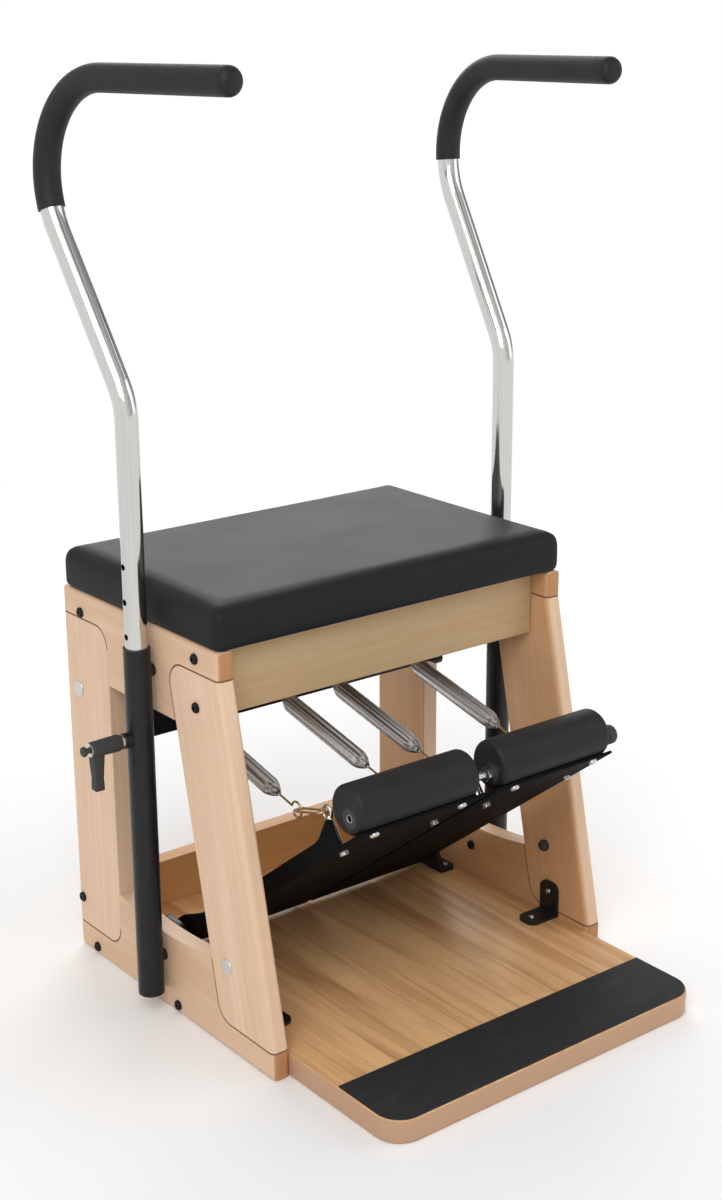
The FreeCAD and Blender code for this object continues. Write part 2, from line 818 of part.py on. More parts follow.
# Spring bar, springs and hooks
def build_spring_bar():
    bar_top = bar_bottom + bar_height
    bar_side = inner_face - bar_plate_thickness
    bar = box(Vec(-bar_side, bar_front, bar_bottom), Vec(bar_side, bar_front + bar_thickness, bar_top))
    for spot in spring_spots.values():
        for sign in (1, -1):
            middle = spring_anchor + X_WAY * (sign * spot)
            ends = [middle + X_WAY * (way * staple_half_width) for way in (-1, 1)]
            bar = bar.fuse(rod(ends[0], ends[1], staple_radius))
            for end in ends:
                bar = bar.fuse(Part.makeSphere(staple_radius, end))
                root = end + Y_WAY * (staple_reach + weld_overlap)
                bar = bar.fuse(rod(end, root, staple_radius))
    save("spring_bar", bar.removeSplitter())
    plate_front = bar_front + bar_plate_offset - bar_plate_width
    plate_rear = bar_front + bar_plate_offset
    plate_top = bar_bottom + bar_plate_rise
    plate = slab_x(
        [
            (plate_front, bar_bottom, bar_plate_corner),
            (plate_rear, bar_bottom, bar_plate_corner),
            (plate_rear, plate_top, bar_plate_corner),
            (plate_front, plate_top, bar_plate_corner),
        ],
        bar_side,
        bar_plate_thickness,
    )
    plate = screw_holes(plate, screw_radius + hole_clearance)
    save("spring_bar_plates", plate, mirrored(plate))


def pedal_to_chair(shape):
    """Lay a pedal piece, modelled flat about its pivot, at its rest angle."""
    shape.rotate(ORIGIN, X_WAY, -pedal_rest_angle)
    shape.translate(Vec(0, pivot_y, pivot_height))
    return shape


def pedal_point(x, reach, height):
    """Chair place of a point given along a pedal from its pivot and above its pivot plane."""
    turn = math.radians(pedal_rest_angle)
    y = pivot_y - reach * math.cos(turn) + height * math.sin(turn)
    z = pivot_height + reach * math.sin(turn) + height * math.cos(turn)
    return Vec(x, y, z)


# Line of the springs, from the staples on the bar to the links on the pedal eyes
eye_reach = pedal_reach - eye_setback
eye_rise = pan_top + eye_height
link_fall = math.radians(link_droop)
link_way = Vec(0, math.cos(link_fall), -math.sin(link_fall))
link_seat = eye_radius - (eye_wire + link_wire) / 2 - side_gap
eye_middle = pedal_point(0, eye_reach, eye_rise)
link_front = eye_middle + link_way * link_seat
link_rear = link_front + link_way * link_length
spring_run = link_rear - spring_anchor
spring_end = spring_run.Length - hook_radius - hook_shank
spring_way = Vec(spring_run).normalize()
spring_side = X_WAY
spring_up = spring_way.cross(spring_side)


def spring_radius_at(turn):
    """Radius of the wire's middle line: tapered in over the last turns at both ends."""
    full = (spring_diameter - spring_wire) / 2
    to_end = min(turn, spring_turns - turn) / spring_taper_turns
    share = min(1.0, to_end)
    smooth = share * share * (3 - 2 * share)
    return spring_end_radius + (full - spring_end_radius) * smooth


def spring_point(turn):
    """Place on the wire's middle line after a number of turns."""
    low = spring_start + spring_turn_in
    high = spring_end - spring_turn_in
    along = low + (high - low) * turn / spring_turns
    angle = 2 * math.pi * turn
    radius = spring_radius_at(turn)
    across = spring_side * (radius * math.cos(angle)) + spring_up * (radius * math.sin(angle))
    return spring_anchor + spring_way * along + across


def spring_tangent(turn):
    """Direction of the wire after a number of turns."""
    before = spring_point(max(0.0, turn - tiny))
    after = spring_point(min(float(spring_turns), turn + tiny))
    return (after - before).normalize()


def arc_from(start, way, end):
    """Arc that leaves start along way and reaches end, with its half-way point."""
    chord = end - start
    along = Vec(chord).normalize()
    across = way - along * way.dot(along)
    if across.Length < tiny:
        return Part.LineSegment(start, end).toShape()
    lean = way.getAngle(along)
    middle = start + chord / 2 + across.normalize() * (chord.Length / 2 * math.tan(lean / 2))
    return Part.Arc(start, middle, end).toShape()


def biarc(start, start_way, end, end_way):
    """Two arcs, tangent to each other and to both end directions."""
    span = end - start
    ways = start_way + end_way
    square = 2 * (1 - start_way.dot(end_way))
    along = span.dot(ways)
    if square < tiny:
        reach = span.dot(span) / (4 * span.dot(end_way))
    else:
        reach = (math.sqrt(along * along + square * span.dot(span)) - along) / square
    middle = (start + end + (start_way - end_way) * reach) / 2
    second = arc_from(end, end_way * -1, middle)
    return [arc_from(start, start_way, middle), second]


def build_springs():
    stations = [(spring_anchor + spring_way * spring_start, spring_way)]
    stations.append((spring_anchor + spring_way * (spring_start + spring_wire), spring_way))
    for half in range(2 * spring_turns + 1):
        turn = half / 2
        stations.append((spring_point(turn), spring_tangent(turn)))
    stations.append((spring_anchor + spring_way * (spring_end - spring_wire), spring_way))
    stations.append((spring_anchor + spring_way * spring_end, spring_way))
    edges = []
    for (start, start_way), (end, end_way) in zip(stations, stations[1:]):
        if (end - start).normalize().getAngle(start_way) < tiny:
            edges.append(Part.LineSegment(start, end).toShape())
        else:
            edges.extend(biarc(start, start_way, end, end_way))
    path = Part.Wire(Part.__sortEdges__(edges))
    spring = tube_along(path, spring_wire / 2)
    points = []
    for edge in path.OrderedEdges:
        points.extend(edge.discretize(8)[:-1])
    lengths = [0.0]
    for before, after in zip(points, points[1:]):
        lengths.append(lengths[-1] + (after - before).Length)
    apart = min(
        (points[i] - points[j]).Length
        for i in range(len(points))
        for j in range(i)
        if lengths[i] - lengths[j] > math.pi * spring_wire
    )
    section = math.pi * spring_wire**2 / 4
    print("spring least gap to itself", round(apart - spring_wire, 2))
    print("spring volume over section times length", round(spring.Volume / (section * path.Length), 4))
    for name, spot in spring_spots.items():
        for side, sign in (("right", 1), ("left", -1)):
            copy = spring.copy()
            copy.translate(X_WAY * (sign * spot))
            save(side + "_" + name + "_spring", copy)


def build_hooks():
    wire = hook_wire / 2
    upper_eye = Part.makeTorus(upper_eye_radius, wire, spring_anchor, X_WAY)
    shank_start = spring_anchor + spring_way * upper_eye_radius
    upper = upper_eye.fuse(rod(shank_start, spring_anchor + spring_way * spring_start, wire))
    neck = link_rear - spring_way * hook_radius
    ring = Part.Face(Part.Wire(Part.Circle(neck, spring_up, wire).toShape()))
    ring = ring.revolve(link_rear, X_WAY, hook_sweep_angle)
    lower = rod(spring_anchor + spring_way * spring_end, neck, wire).fuse(ring)
    for side, sign in (("right", 1), ("left", -1)):
        for name, hook in (("upper_hooks", upper), ("lower_hooks", lower)):
            copies = []
            for spot in spring_spots.values():
                copy = hook.removeSplitter()
                copy.translate(X_WAY * (sign * spot))
                copies.append(copy)
            save(side + "_" + name, *copies)


# Pedals
def build_pedal_frame():
    """Folded steel pan with side flanges, welded to its pivot tube."""
    flange_top = pan_bottom + flange_height
    flange_end = pedal_reach - foot_pad_radius - flange_pad_gap
    pan = box(Vec(pedal_inner, -pedal_reach - pan_lip, pan_bottom), Vec(pedal_outer, 0, pan_top))
    heel = -pan_bottom
    outline = [
        (heel, pan_bottom, heel - tiny),
        (heel, heel, heel - tiny),
        (-heel, heel, heel),
        (-heel - flange_heel_run, flange_top, flange_heel_run),
        (flange_rise_run - flange_end, flange_top, flange_rise_run),
        (flange_corner_radius - flange_end, flange_top + flange_rise, flange_corner_radius),
        (-flange_end, flange_top + flange_rise, flange_corner_radius * dome_share),
        (-flange_end, pan_bottom, 0),
    ]
    tube = rod(Vec(pedal_inner, 0, 0), Vec(pedal_outer, 0, 0), pivot_tube_radius)
    frame = pan.fuse(tube)
    for x in (pedal_inner, pedal_outer - pan_thickness):
        frame = frame.fuse(slab_x(outline, x, pan_thickness))
    frame = frame.removeSplitter()
    start = Vec(pedal_inner - overrun, 0, 0)
    frame = bored(frame, start, Vec(pedal_outer + overrun, 0, 0), bush_radius + running_clearance)
    holes = [(x, -pedal_reach) for x in pad_bolt_spots]
    holes += [(x, -eye_reach) for x in spring_spots.values()]
    for x, y in holes:
        low = Vec(x, y, pan_bottom - overrun)
        frame = bored(frame, low, Vec(x, y, pan_top + overrun), bolt_radius + hole_clearance)
    save_pair("pedal_frame", pedal_to_chair(frame))


def build_pivot():
    axle_end = bracket_inner + bracket_web + axle_stand_out
    middle = Vec(0, pivot_y, pivot_height)
    save("pivot_axle", rod(middle - X_WAY * axle_end, middle + X_WAY * axle_end, axle_radius))

    bushes = []
    for face, way in ((pedal_inner, -1), (pedal_outer, 1)):
        collar_length = bush_collar_length if way > 0 else pedal_inner - side_gap
        bush = rod(Vec(face - way * bush_length, 0, 0), Vec(face, 0, 0), bush_radius)
        collar = rod(Vec(face, 0, 0), Vec(face + way * collar_length, 0, 0), bush_collar_radius)
        bush = bush.fuse(collar).removeSplitter()
        inner = Vec(face - way * (bush_length + overrun), 0, 0)
        outer = Vec(face + way * (collar_length + overrun), 0, 0)
        bushes.append(pedal_to_chair(bored(bush, inner, outer, axle_radius + running_clearance)))
    save_pair("pivot_bushes", *bushes)

    half = bracket_base_length / 2
    web = slab_x(
        [
            (pivot_y - half, base_thickness, 0),
            (pivot_y + half, base_thickness, 0),
            (pivot_y + half, base_thickness + bracket_flange_thickness, 0),
            (pivot_y + bracket_head_radius, pivot_height + bracket_head_radius, bracket_head_radius),
            (pivot_y - bracket_head_radius, pivot_height + bracket_head_radius, bracket_head_radius),
            (pivot_y - half, base_thickness + bracket_flange_thickness, 0),
        ],
        bracket_inner,
        bracket_web,
    )
    far = bracket_inner + bracket_web + bracket_flange
    flange = slab_z(
        [
            (bracket_inner, pivot_y - half, 0),
            (far, pivot_y - half, bracket_corner_radius),
            (far, pivot_y + half, bracket_corner_radius),
            (bracket_inner, pivot_y + half, 0),
        ],
        base_thickness,
        bracket_flange_thickness,
    )
    bracket = web.fuse(flange).removeSplitter()
    through = Vec(far, pivot_y, pivot_height)
    bracket = bored(bracket, middle, through, axle_radius + running_clearance)
    bracket = screw_holes(bracket, screw_radius + hole_clearance)
    save("pivot_brackets", bracket, mirrored(bracket))


def on_core(x):
    """Point on the axis of the pad cores and of the dowel."""
    return Vec(x, -pedal_reach, core_height)


def build_foot_pad():
    """Foam roller on a core with a neck towards the middle, held to the pan by two bolts from below."""
    neck = rod(on_core(neck_end), on_core(foot_pad_inner + weld_overlap), neck_radius)
    core = rod(on_core(foot_pad_inner), on_core(foot_pad_outer), core_radius).fuse(neck).removeSplitter()
    core = bored(
        core,
        on_core(neck_end - overrun),
        on_core(foot_pad_outer + overrun),
        dowel_radius + dowel_clearance,
    )
    foam_start = Vec(foot_pad_inner, -pedal_reach, foot_pad_height)
    foam = rod(foam_start, foam_start + X_WAY * foot_pad_length, foot_pad_radius)
    foam = ease(
        foam,
        foot_pad_end_radius,
        lambda edge: circle_at(X_WAY, foot_pad_inner)(edge) or circle_at(X_WAY, foot_pad_outer)(edge),
    )
    foam = bored(foam, on_core(0), on_core(foot_pad_outer + overrun), core_radius + core_clearance)
    tip = core_height - core_radius + (core_radius - dowel_radius) * pad_bolt_depth_share
    bolts = []
    for x in pad_bolt_spots:
        seat = Vec(x, -pedal_reach, pan_bottom)
        end = Vec(x, -pedal_reach, tip + hole_clearance)
        core = bored(core, seat, end, bolt_radius + hole_clearance)
        foam = bored(foam, seat, end, bolt_radius + side_gap)
        bolts.append(pedal_to_chair(domed_bolt(seat, Z_WAY * -1, pad_bolt, tip - pan_bottom)))
    save_pair("pad_core", pedal_to_chair(core))
    save_pair("foot_pad", pedal_to_chair(foam))
    save_pair("pad_bolts", *bolts)


def build_dowel():
    """Rod through the right pad that is pushed into the left pad to link the pedals."""
    knob_low = foot_pad_outer + knob_stand_off
    knob_high = knob_low + knob_length
    dowel = rod(on_core(dowel_tip_gap - neck_end), on_core(knob_low + knob_socket), dowel_radius)
    knob = rod(on_core(knob_low), on_core(knob_high), knob_radius)
    knob = ease(
        knob,
        knob_round,
        lambda edge: circle_at(X_WAY, knob_low)(edge) or circle_at(X_WAY, knob_high)(edge),
    )
    socket_end = on_core(knob_low + knob_socket + hole_clearance)
    knob = bored(knob, on_core(knob_low - overrun), socket_end, dowel_radius + running_clearance)
    save("link_dowel", pedal_to_chair(dowel))
    save("dowel_knob", pedal_to_chair(knob))


def build_eyes_and_links():
    wire = link_wire / 2
    for side, sign in (("right", 1), ("left", -1)):
        eyes = []
        links = []
        for spot in spring_spots.values():
            x = sign * spot
            foot = Vec(x, -eye_reach, pan_bottom)
            middle = Vec(x, -eye_reach, eye_rise)
            shank = rod(foot, middle - Z_WAY * (eye_radius - eye_wire / 2), bolt_radius)
            nut = rod(foot - Z_WAY * eye_nut_height, foot, eye_nut_radius)
            ring = Part.makeTorus(eye_radius, eye_wire / 2, middle, X_WAY)
            eyes.append(pedal_to_chair(shank.fuse(nut).fuse(ring).removeSplitter()))

            across = X_WAY * link_half_width
            square = X_WAY.cross(link_way)
            first = Vec(x, link_front.y, link_front.z) + link_way * link_half_width
            last = Vec(x, link_rear.y, link_rear.z) - link_way * link_half_width
            link = rod(first + across, last + across, wire).fuse(rod(first - across, last - across, wire))
            for end, start_side in ((first, across), (last, across * -1)):
                face = Part.Face(Part.Wire(Part.Circle(end + start_side, link_way, wire).toShape()))
                link = link.fuse(face.revolve(end, square * -1, 180))
            links.append(link.removeSplitter())
        save(side + "_spring_eyes", *eyes)
        save(side + "_spring_links", *links)


def print_joint_places():
    """Joint axes that follow from the sizes above."""
    for name, place in (
        ("spring anchor", spring_anchor),
        ("spring way", spring_way),
        ("link rear", link_rear),
        ("pivot", Vec(0, pivot_y, pivot_height)),
        ("foot pad", pedal_point(0, pedal_reach, foot_pad_height)),
        ("lever axis", Vec(sleeve_x, sleeve_y, clamp_height)),
    ):
        print(name, [round(value, 3) for value in place])


def main():
    os.makedirs("parts", exist_ok=True)
    build_wood()
    build_seat()
    build_fittings()
    build_sleeve()
    build_pole()
    build_lever()
    build_spring_bar()
    build_springs()
    build_hooks()
    build_pedal_frame()
    build_pivot()
    build_foot_pad()
    build_dowel()
    build_eyes_and_links()
    print_joint_places()


main()
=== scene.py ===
"""Looks of a pilates chair: timber, upholstery, foam, springs and metalwork around its packed solids."""

import json
import math

import bmesh
import bpy
from bpy.props import FloatProperty, FloatVectorProperty, IntProperty, PointerProperty
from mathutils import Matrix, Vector

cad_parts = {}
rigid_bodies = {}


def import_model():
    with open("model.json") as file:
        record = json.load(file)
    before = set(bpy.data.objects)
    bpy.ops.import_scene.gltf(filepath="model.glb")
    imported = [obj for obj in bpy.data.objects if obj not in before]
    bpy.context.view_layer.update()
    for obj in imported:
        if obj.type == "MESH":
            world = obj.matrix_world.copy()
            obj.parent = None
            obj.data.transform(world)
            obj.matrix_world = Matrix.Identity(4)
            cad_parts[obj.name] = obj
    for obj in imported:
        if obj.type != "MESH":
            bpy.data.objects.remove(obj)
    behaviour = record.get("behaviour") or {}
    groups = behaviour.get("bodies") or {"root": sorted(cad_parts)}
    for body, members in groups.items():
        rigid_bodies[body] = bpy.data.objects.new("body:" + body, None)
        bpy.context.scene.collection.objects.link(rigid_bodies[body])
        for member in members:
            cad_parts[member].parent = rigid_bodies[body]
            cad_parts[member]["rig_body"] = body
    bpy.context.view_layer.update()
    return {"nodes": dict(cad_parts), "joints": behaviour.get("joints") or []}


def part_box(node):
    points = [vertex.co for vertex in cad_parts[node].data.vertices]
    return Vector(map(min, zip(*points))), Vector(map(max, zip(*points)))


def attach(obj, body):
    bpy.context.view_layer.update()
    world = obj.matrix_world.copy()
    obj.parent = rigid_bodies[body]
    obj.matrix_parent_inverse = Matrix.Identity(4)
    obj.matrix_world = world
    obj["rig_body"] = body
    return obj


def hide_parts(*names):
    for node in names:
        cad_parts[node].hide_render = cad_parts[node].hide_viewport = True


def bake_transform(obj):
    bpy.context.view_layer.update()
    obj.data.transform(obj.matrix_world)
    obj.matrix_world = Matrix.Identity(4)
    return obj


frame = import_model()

bl_info = {
    "name": "Pilates chair looks",
    "version": (1, 0, 0),
    "blender": (4, 5, 0),
    "location": "3D View > Sidebar > Pilates chair",
    "description": "Timber, upholstery, foam, springs and metalwork of a pilates chair",
    "category": "Object",
}

SIDES = ("right", "left")
X, Y, Z = range(3)
OUT = Vector((1.0, 0.0, 0.0))
FORWARD = Vector((0.0, -1.0, 0.0))
DOWN = Vector((0.0, 0.0, -1.0))
STRAIGHT = (0.0, 0.0, 0.0)
QUARTER_TURN = math.radians(90.0)
WHITE = (1.0, 1.0, 1.0)
# Places closer than this, in metres, count as one.
NEAR = 0.00001
# Face mark of the lines where legs and rails meet.
JOINT_MARK = "joint"
# Frames of the seat pad's simulation.
FIRST_FRAME, LAST_FRAME = 1, 20
# Colour sockets of Blender's Mix node, whose names repeat.
MIX_FACTOR, MIX_FIRST, MIX_SECOND, MIX_RESULT = 0, 6, 7, 2

JOINTS = {joint["name"]: joint for joint in frame["joints"]}
GRIP_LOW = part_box("right_handle_grip")[0]
CUSHION_LOW, CUSHION_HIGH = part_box("seat_cushion")
FOOT_PAD_LOW, FOOT_PAD_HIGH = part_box("right_foot_pad")
CORE_LOW, CORE_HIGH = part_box("right_pad_core")
LEVER_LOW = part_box("right_clamp_lever")[0]
LEVER_AXIS = Vector(JOINTS["right_lever_turn"]["pos_m"])
SPRING_ANCHOR = Vector(JOINTS["right_spring_swing"]["pos_m"])
SPRING_WAY = Vector(JOINTS["right_spring_stretch"]["axis"]).normalized()


def length(name, description, default):
    """A size in metres that a user may change."""
    return FloatProperty(name=name, description=description, default=default, unit="LENGTH", precision=4)


def angle(name, description, default):
    """An angle that a user may change, given in degrees."""
    return FloatProperty(name=name, description=description, default=math.radians(default), subtype="ANGLE")


def amount(name, description, default, **limits):
    """A plain number that a user may change."""
    return FloatProperty(name=name, description=description, default=default, min=0.0, **limits)


def colour(name, description, default):
    """A colour that a user may change."""
    return FloatVectorProperty(
        name=name, description=description, default=default, size=3, min=0.0, max=1.0, subtype="COLOR"
    )


class ChairTimber(bpy.types.PropertyGroup):
    """Sizes and colours of the beech frame and its boards."""

    edge: length("Eased edge", "Width of the eased edges of the timber", 0.0014)
    shortest: length("Shortest eased", "Edges shorter than this, as round small holes, stay sharp", 0.0006)
    joint_inset: length("Joint inset", "How far inside a rail's ends the joint lines start", 0.025)
    joint_margin: length("Joint margin", "How far inside a rail's long edges the joint lines start", 0.016)
    joint_tone: colour("Joint line", "Tone of the lines where legs and rails meet", (0.24, 0.135, 0.072))
    leg_tilt: angle("Front leg tilt", "Lean of the front legs and of their grain", 12.1)
    pale: colour("Pale beech", "Lightest tone of the frame", (0.80, 0.58, 0.413))
    deep: colour("Deep beech", "Darkest tone of the frame", (0.72, 0.482, 0.316))
    end_cast: colour("End grain", "How much of the deep tone end grain keeps", (0.70, 0.53, 0.37))
    # Painted shade with an orange cast of bounce light from the base board, on the faces towards the middle.
    inward_painted_shade: colour("Inner faces", "How much colour faces towards the middle keep", (0.91, 0.76, 0.57))
    rail_cast: colour("Rail cast", "How much of the frame's colour the rails keep", (0.94, 0.91, 0.86))
    apron_cast: colour("Apron cast", "How much of the frame's colour the aprons keep", (0.71, 0.69, 0.54))
    rear_cast: colour("Rear cast", "How much of the frame's colour the rear board keeps", (0.92, 0.72, 0.42))
    board_pale: colour("Pale board", "Lightest tone of the base board", (0.83, 0.50, 0.238))
    board_deep: colour("Deep board", "Streaks of the base board", (0.46, 0.217, 0.085))
    board_edge: colour("Board edge", "Plain tone of the base board's edges", (0.52, 0.315, 0.192))
    strip: colour("Grip strip", "Black rubber of the grip strip", (0.02, 0.02, 0.021))
    scuff: colour("Strip scuffs", "Tone of the scuffs on the grip strip", (0.08, 0.08, 0.082))


class ChairUpholstery(bpy.types.PropertyGroup):
    """Sizes and colours of the seat pad, foot pads and grips."""

    corner: length("Corner radius", "Radius of the seat pad's corners seen from above", 0.014)
    brow: length("Top edge radius", "Roll of the seat pad's top edge", 0.018)
    hem: length("Lower edge radius", "Roll of the seat pad's lower edge", 0.006)
    draw_in: length("Draw-in", "How far the sides pull in between the corners", 0.0010)
    slack: length("Start size", "How much smaller the seat pad starts before it is filled", 0.0025)
    voxel: length("Mesh size", "Mesh size of the seat pad", 0.005)
    pressure: amount("Filling", "Pressure that fills the seat pad", 1.2)
    give: length("Greatest swell", "How far a point of the seat pad may swell", 0.003)
    calm: IntProperty(name="Calming", description="Smoothing rounds over the seat pad", default=5, min=0)
    proud: length("Standing proud", "How far the cover's sides and front stand proud of the solid", 0.002)
    pad_round: length("Foot pad ends", "Roll of the foot pads' ends", 0.0085)
    core: length("Core radius", "Radius of the core that shows at the pad ends", 0.0141)
    ferrule: length("Ferrule radius", "Outer radius of the ferrules on the cores' necks", 0.0098)
    ferrule_wall: length("Ferrule wall", "Wall of the ferrules", 0.0004)
    lip: length("Bore lip radius", "Radius of the bright lip in the outer bore", 0.0054)
    lip_wire: length("Bore lip wire", "Thickness radius of the bright lip", 0.0006)
    leather: colour("Seat cover", "Black leatherette", (0.017, 0.0175, 0.019))
    foam: colour("Foam", "Black closed-cell foam", (0.0135, 0.0135, 0.0145))


class ChairHandles(bpy.types.PropertyGroup):
    """Sizes of the grips and clamp levers."""

    grip_radius: length("Grip radius", "Radius of the foam grips", 0.0185)
    grip_line: length("Grip height", "Height of the straight stretch of the grips", 1.3055)
    bend_height: length("Bend height", "Height where the poles start to lean back", 0.896)
    lean: angle("Pole lean", "Lean of the upper poles", 31.8)
    elbow: length("Elbow radius", "Bend radius at the elbow of the grips", 0.128)
    bare_right: angle("Bare right elbow", "Lower part of the elbow that the right grip leaves bare", 27.0)
    bare_left: angle("Bare left elbow", "Lower part of the elbow that the left grip leaves bare", 13.0)
    toe_in: angle("Toe-in", "How far the grips turn towards each other", 5.6)
    tip_round: length("Grip tip", "Roll of the front ends of the grips", 0.0125)
    hub_radius: length("Hub radius", "Radius of the clamp levers' hubs", 0.012)
    hub_length: length("Hub length", "Length of the clamp levers' hubs", 0.048)
    arm_length: length("Arm length", "Length of the clamp levers' arms", 0.054)
    arm_width: length("Arm width", "Width of the arms at the hub", 0.017)
    arm_depth: length("Arm depth", "Depth of the arms at the hub", 0.0165)
    arm_head: length("Arm head", "Height of the arms' heads inside the hub", 0.012)
    arm_edge: length("Arm edges", "Eased edges of the arms", 0.0014)


class ChairSprings(bpy.types.PropertyGroup):
    """Sizes and colours of the springs and the metalwork."""

    turns: IntProperty(name="Turns", description="Turns of each spring", default=110, min=4)
    wire: length("Wire", "Thickness of the spring wire", 0.00195)
    radius: length("Radius", "Outer radius of the springs", 0.0135)
    mouth: length("End radius", "Outer radius of the drawn-in ends", 0.0050)
    start: length("Start", "Distance of the spring's upper end from the bar's staple", 0.022)
    end: length("End", "Distance of the spring's lower end from the bar's staple", 0.236)
    drawn_turns: amount("Drawn-in turns", "Turns that narrow at each end", 12.0)
    calm: amount("Shared sheen", "How far the turns shine as one", 0.9, max=1.0)
    plate_shortest: length("Shortest plate edge", "Shorter edges of the steel plates stay sharp", 0.006)
    steel: colour("Spring steel", "Bright spring wire", (0.95, 0.97, 0.98))
    black: colour("Black coat", "Powder coat of the steel parts", (0.0125, 0.0127, 0.0138))
    chrome: colour("Chrome", "Polished handle poles", (0.64, 0.635, 0.615))
    brass: colour("Brass", "Hooks, links and eyes", (0.62, 0.44, 0.21))
    zinc: colour("Zinc", "Plated screws, studs and axle", (0.66, 0.66, 0.65))
    cap: colour("Caps", "Satin metal of the cover caps", (0.70, 0.69, 0.66))
    plastic: colour("Plastic", "Black plastic of levers, cores and bumpers", (0.012, 0.012, 0.013))
    nylon: colour("Nylon", "Dark nylon of the pivot bushes", (0.03, 0.03, 0.03))


class ChairStage(bpy.types.PropertyGroup):
    """Camera, lamps and floor."""

    lens: amount("Lens", "Focal length in millimetres", 55.37)
    sensor: amount("Sensor", "Width of the camera's sensor in millimetres", 36.0)
    camera_place: FloatVectorProperty(
        name="Camera", description="Place of the camera", default=(-1.5608, -2.0676, 1.3702), subtype="XYZ"
    )
    camera_turn: FloatVectorProperty(
        name="Camera turn",
        description="Turn of the camera",
        default=(math.radians(72.608), math.radians(0.323), math.radians(-38.087)),
        subtype="EULER",
    )
    key: amount("Key lamp", "Power of the key lamp in watts", 62.0)
    fill: amount("Fill lamp", "Power of the fill lamp in watts", 22.0)
    back: amount("Back lamp", "Power of the lamp behind in watts", 55.0)
    aim_height: length("Aim height", "Height that the lamps point at", 0.5)
    sky: amount("Room light", "Strength of the light from all round", 0.58)
    floor: colour("Floor", "Pale floor", (0.97, 0.97, 0.97))
    floor_size: length("Floor size", "Side of the square floor", 80.0)
    floor_drop: length("Floor drop", "How far the floor lies under the feet", 0.0005)
    fade_start: length("Fade start", "Distance at which the floor starts to turn white", 1.0)
    fade_end: length("Fade end", "Distance at which the floor is white", 3.2)


# Shader helpers


def shaded(tint, share):
    """A colour made darker or lighter by a share."""
    return tuple(value * share for value in tint)


def tinted(tone, cast):
    """A colour of which each part keeps its own share."""
    return tuple(value * share for value, share in zip(tone, cast))


def shader_of(name):
    """Node tree and surface shader of a new material."""
    material = bpy.data.materials.new(name)
    material.use_nodes = True
    tree = material.node_tree
    return tree, tree.nodes["Principled BSDF"]


def place(tree, feature, turn=STRAIGHT):
    """Object coordinates divided by a feature size in metres for each axis, turned first."""
    coordinates = tree.nodes.new("ShaderNodeTexCoord")
    mapping = tree.nodes.new("ShaderNodeMapping")
    mapping.vector_type = "TEXTURE"
    mapping.inputs["Rotation"].default_value = turn
    mapping.inputs["Scale"].default_value = feature
    tree.links.new(coordinates.outputs["Object"], mapping.inputs["Vector"])
    return mapping.outputs["Vector"]


def grain(tree, axis, width, run, detail=3.0, wander=0.0, turn=STRAIGHT):
    """Soft noise drawn out along an axis, of a width and a run in metres."""
    feature = [run if index == axis else width for index in range(3)]
    node = tree.nodes.new("ShaderNodeTexNoise")
    node.inputs["Scale"].default_value = 1.0
    node.inputs["Detail"].default_value = detail
    node.inputs["Distortion"].default_value = wander
    tree.links.new(place(tree, feature, turn), node.inputs["Vector"])
    return node.outputs["Fac"]


def mottle(tree, size, detail=3.0, wander=0.0):
    """Soft noise of one feature size in metres."""
    return grain(tree, X, size, size, detail, wander)


def cells(tree, size):
    """Distance to the middle of pebble-like cells of one feature size in metres."""
    node = tree.nodes.new("ShaderNodeTexVoronoi")
    node.inputs["Scale"].default_value = 1.0
    tree.links.new(place(tree, (size,) * 3), node.inputs["Vector"])
    return node.outputs["Distance"]


def between(tree, factor, low, high, where=(0.3, 0.7)):
    """A value that goes from low to high while a factor crosses the range where."""
    node = tree.nodes.new("ShaderNodeMapRange")
    for socket, value in zip(node.inputs[1:5], (*where, low, high)):
        socket.default_value = value
    tree.links.new(factor, node.inputs["Value"])
    return node.outputs["Result"]


def weigh(tree, operation, first, second):
    """Sum, product and the like of two factors, the second a number or a socket."""
    node = tree.nodes.new("ShaderNodeMath")
    node.operation = operation
    tree.links.new(first, node.inputs[0])
    if isinstance(second, (int, float)):
        node.inputs[1].default_value = second
    else:
        tree.links.new(second, node.inputs[1])
    return node.outputs[0]


def mixed(tree, first, second, share):
    """A share of one factor and the rest of another."""
    rest = weigh(tree, "MULTIPLY", second, 1.0 - share)
    return weigh(tree, "ADD", weigh(tree, "MULTIPLY", first, share), rest)


def blend_colours(tree, factor, first, second, way="MIX"):
    """Two colours, each a value or a socket, mixed by a factor."""
    node = tree.nodes.new("ShaderNodeMix")
    node.data_type = "RGBA"
    node.blend_type = way
    tree.links.new(factor, node.inputs[MIX_FACTOR])
    for socket, value in ((node.inputs[MIX_FIRST], first), (node.inputs[MIX_SECOND], second)):
        if isinstance(value, bpy.types.NodeSocket):
            tree.links.new(value, socket)
        else:
            socket.default_value = (*value, 1.0)
    return node.outputs[MIX_RESULT]


def mix_shaders(tree, factor, first, second):
    """Two surface shaders mixed by a factor."""
    mixer = tree.nodes.new("ShaderNodeMixShader")
    for socket, source in zip(mixer.inputs, (factor, first, second)):
        tree.links.new(source, socket)
    return mixer.outputs[0]


def paint(tree, shader, tone, roughness, shine=0.5):
    """Give a shader its colour, its roughness and the strength of its highlights."""
    tree.links.new(tone, shader.inputs["Base Color"])
    tree.links.new(roughness, shader.inputs["Roughness"])
    shader.inputs["Specular IOR Level"].default_value = shine


def bump(tree, shader, height, depth, strength):
    """Relief of a depth in metres."""
    node = tree.nodes.new("ShaderNodeBump")
    node.inputs["Strength"].default_value = strength
    node.inputs["Distance"].default_value = depth
    tree.links.new(height, node.inputs["Height"])
    tree.links.new(node.outputs["Normal"], shader.inputs["Normal"])


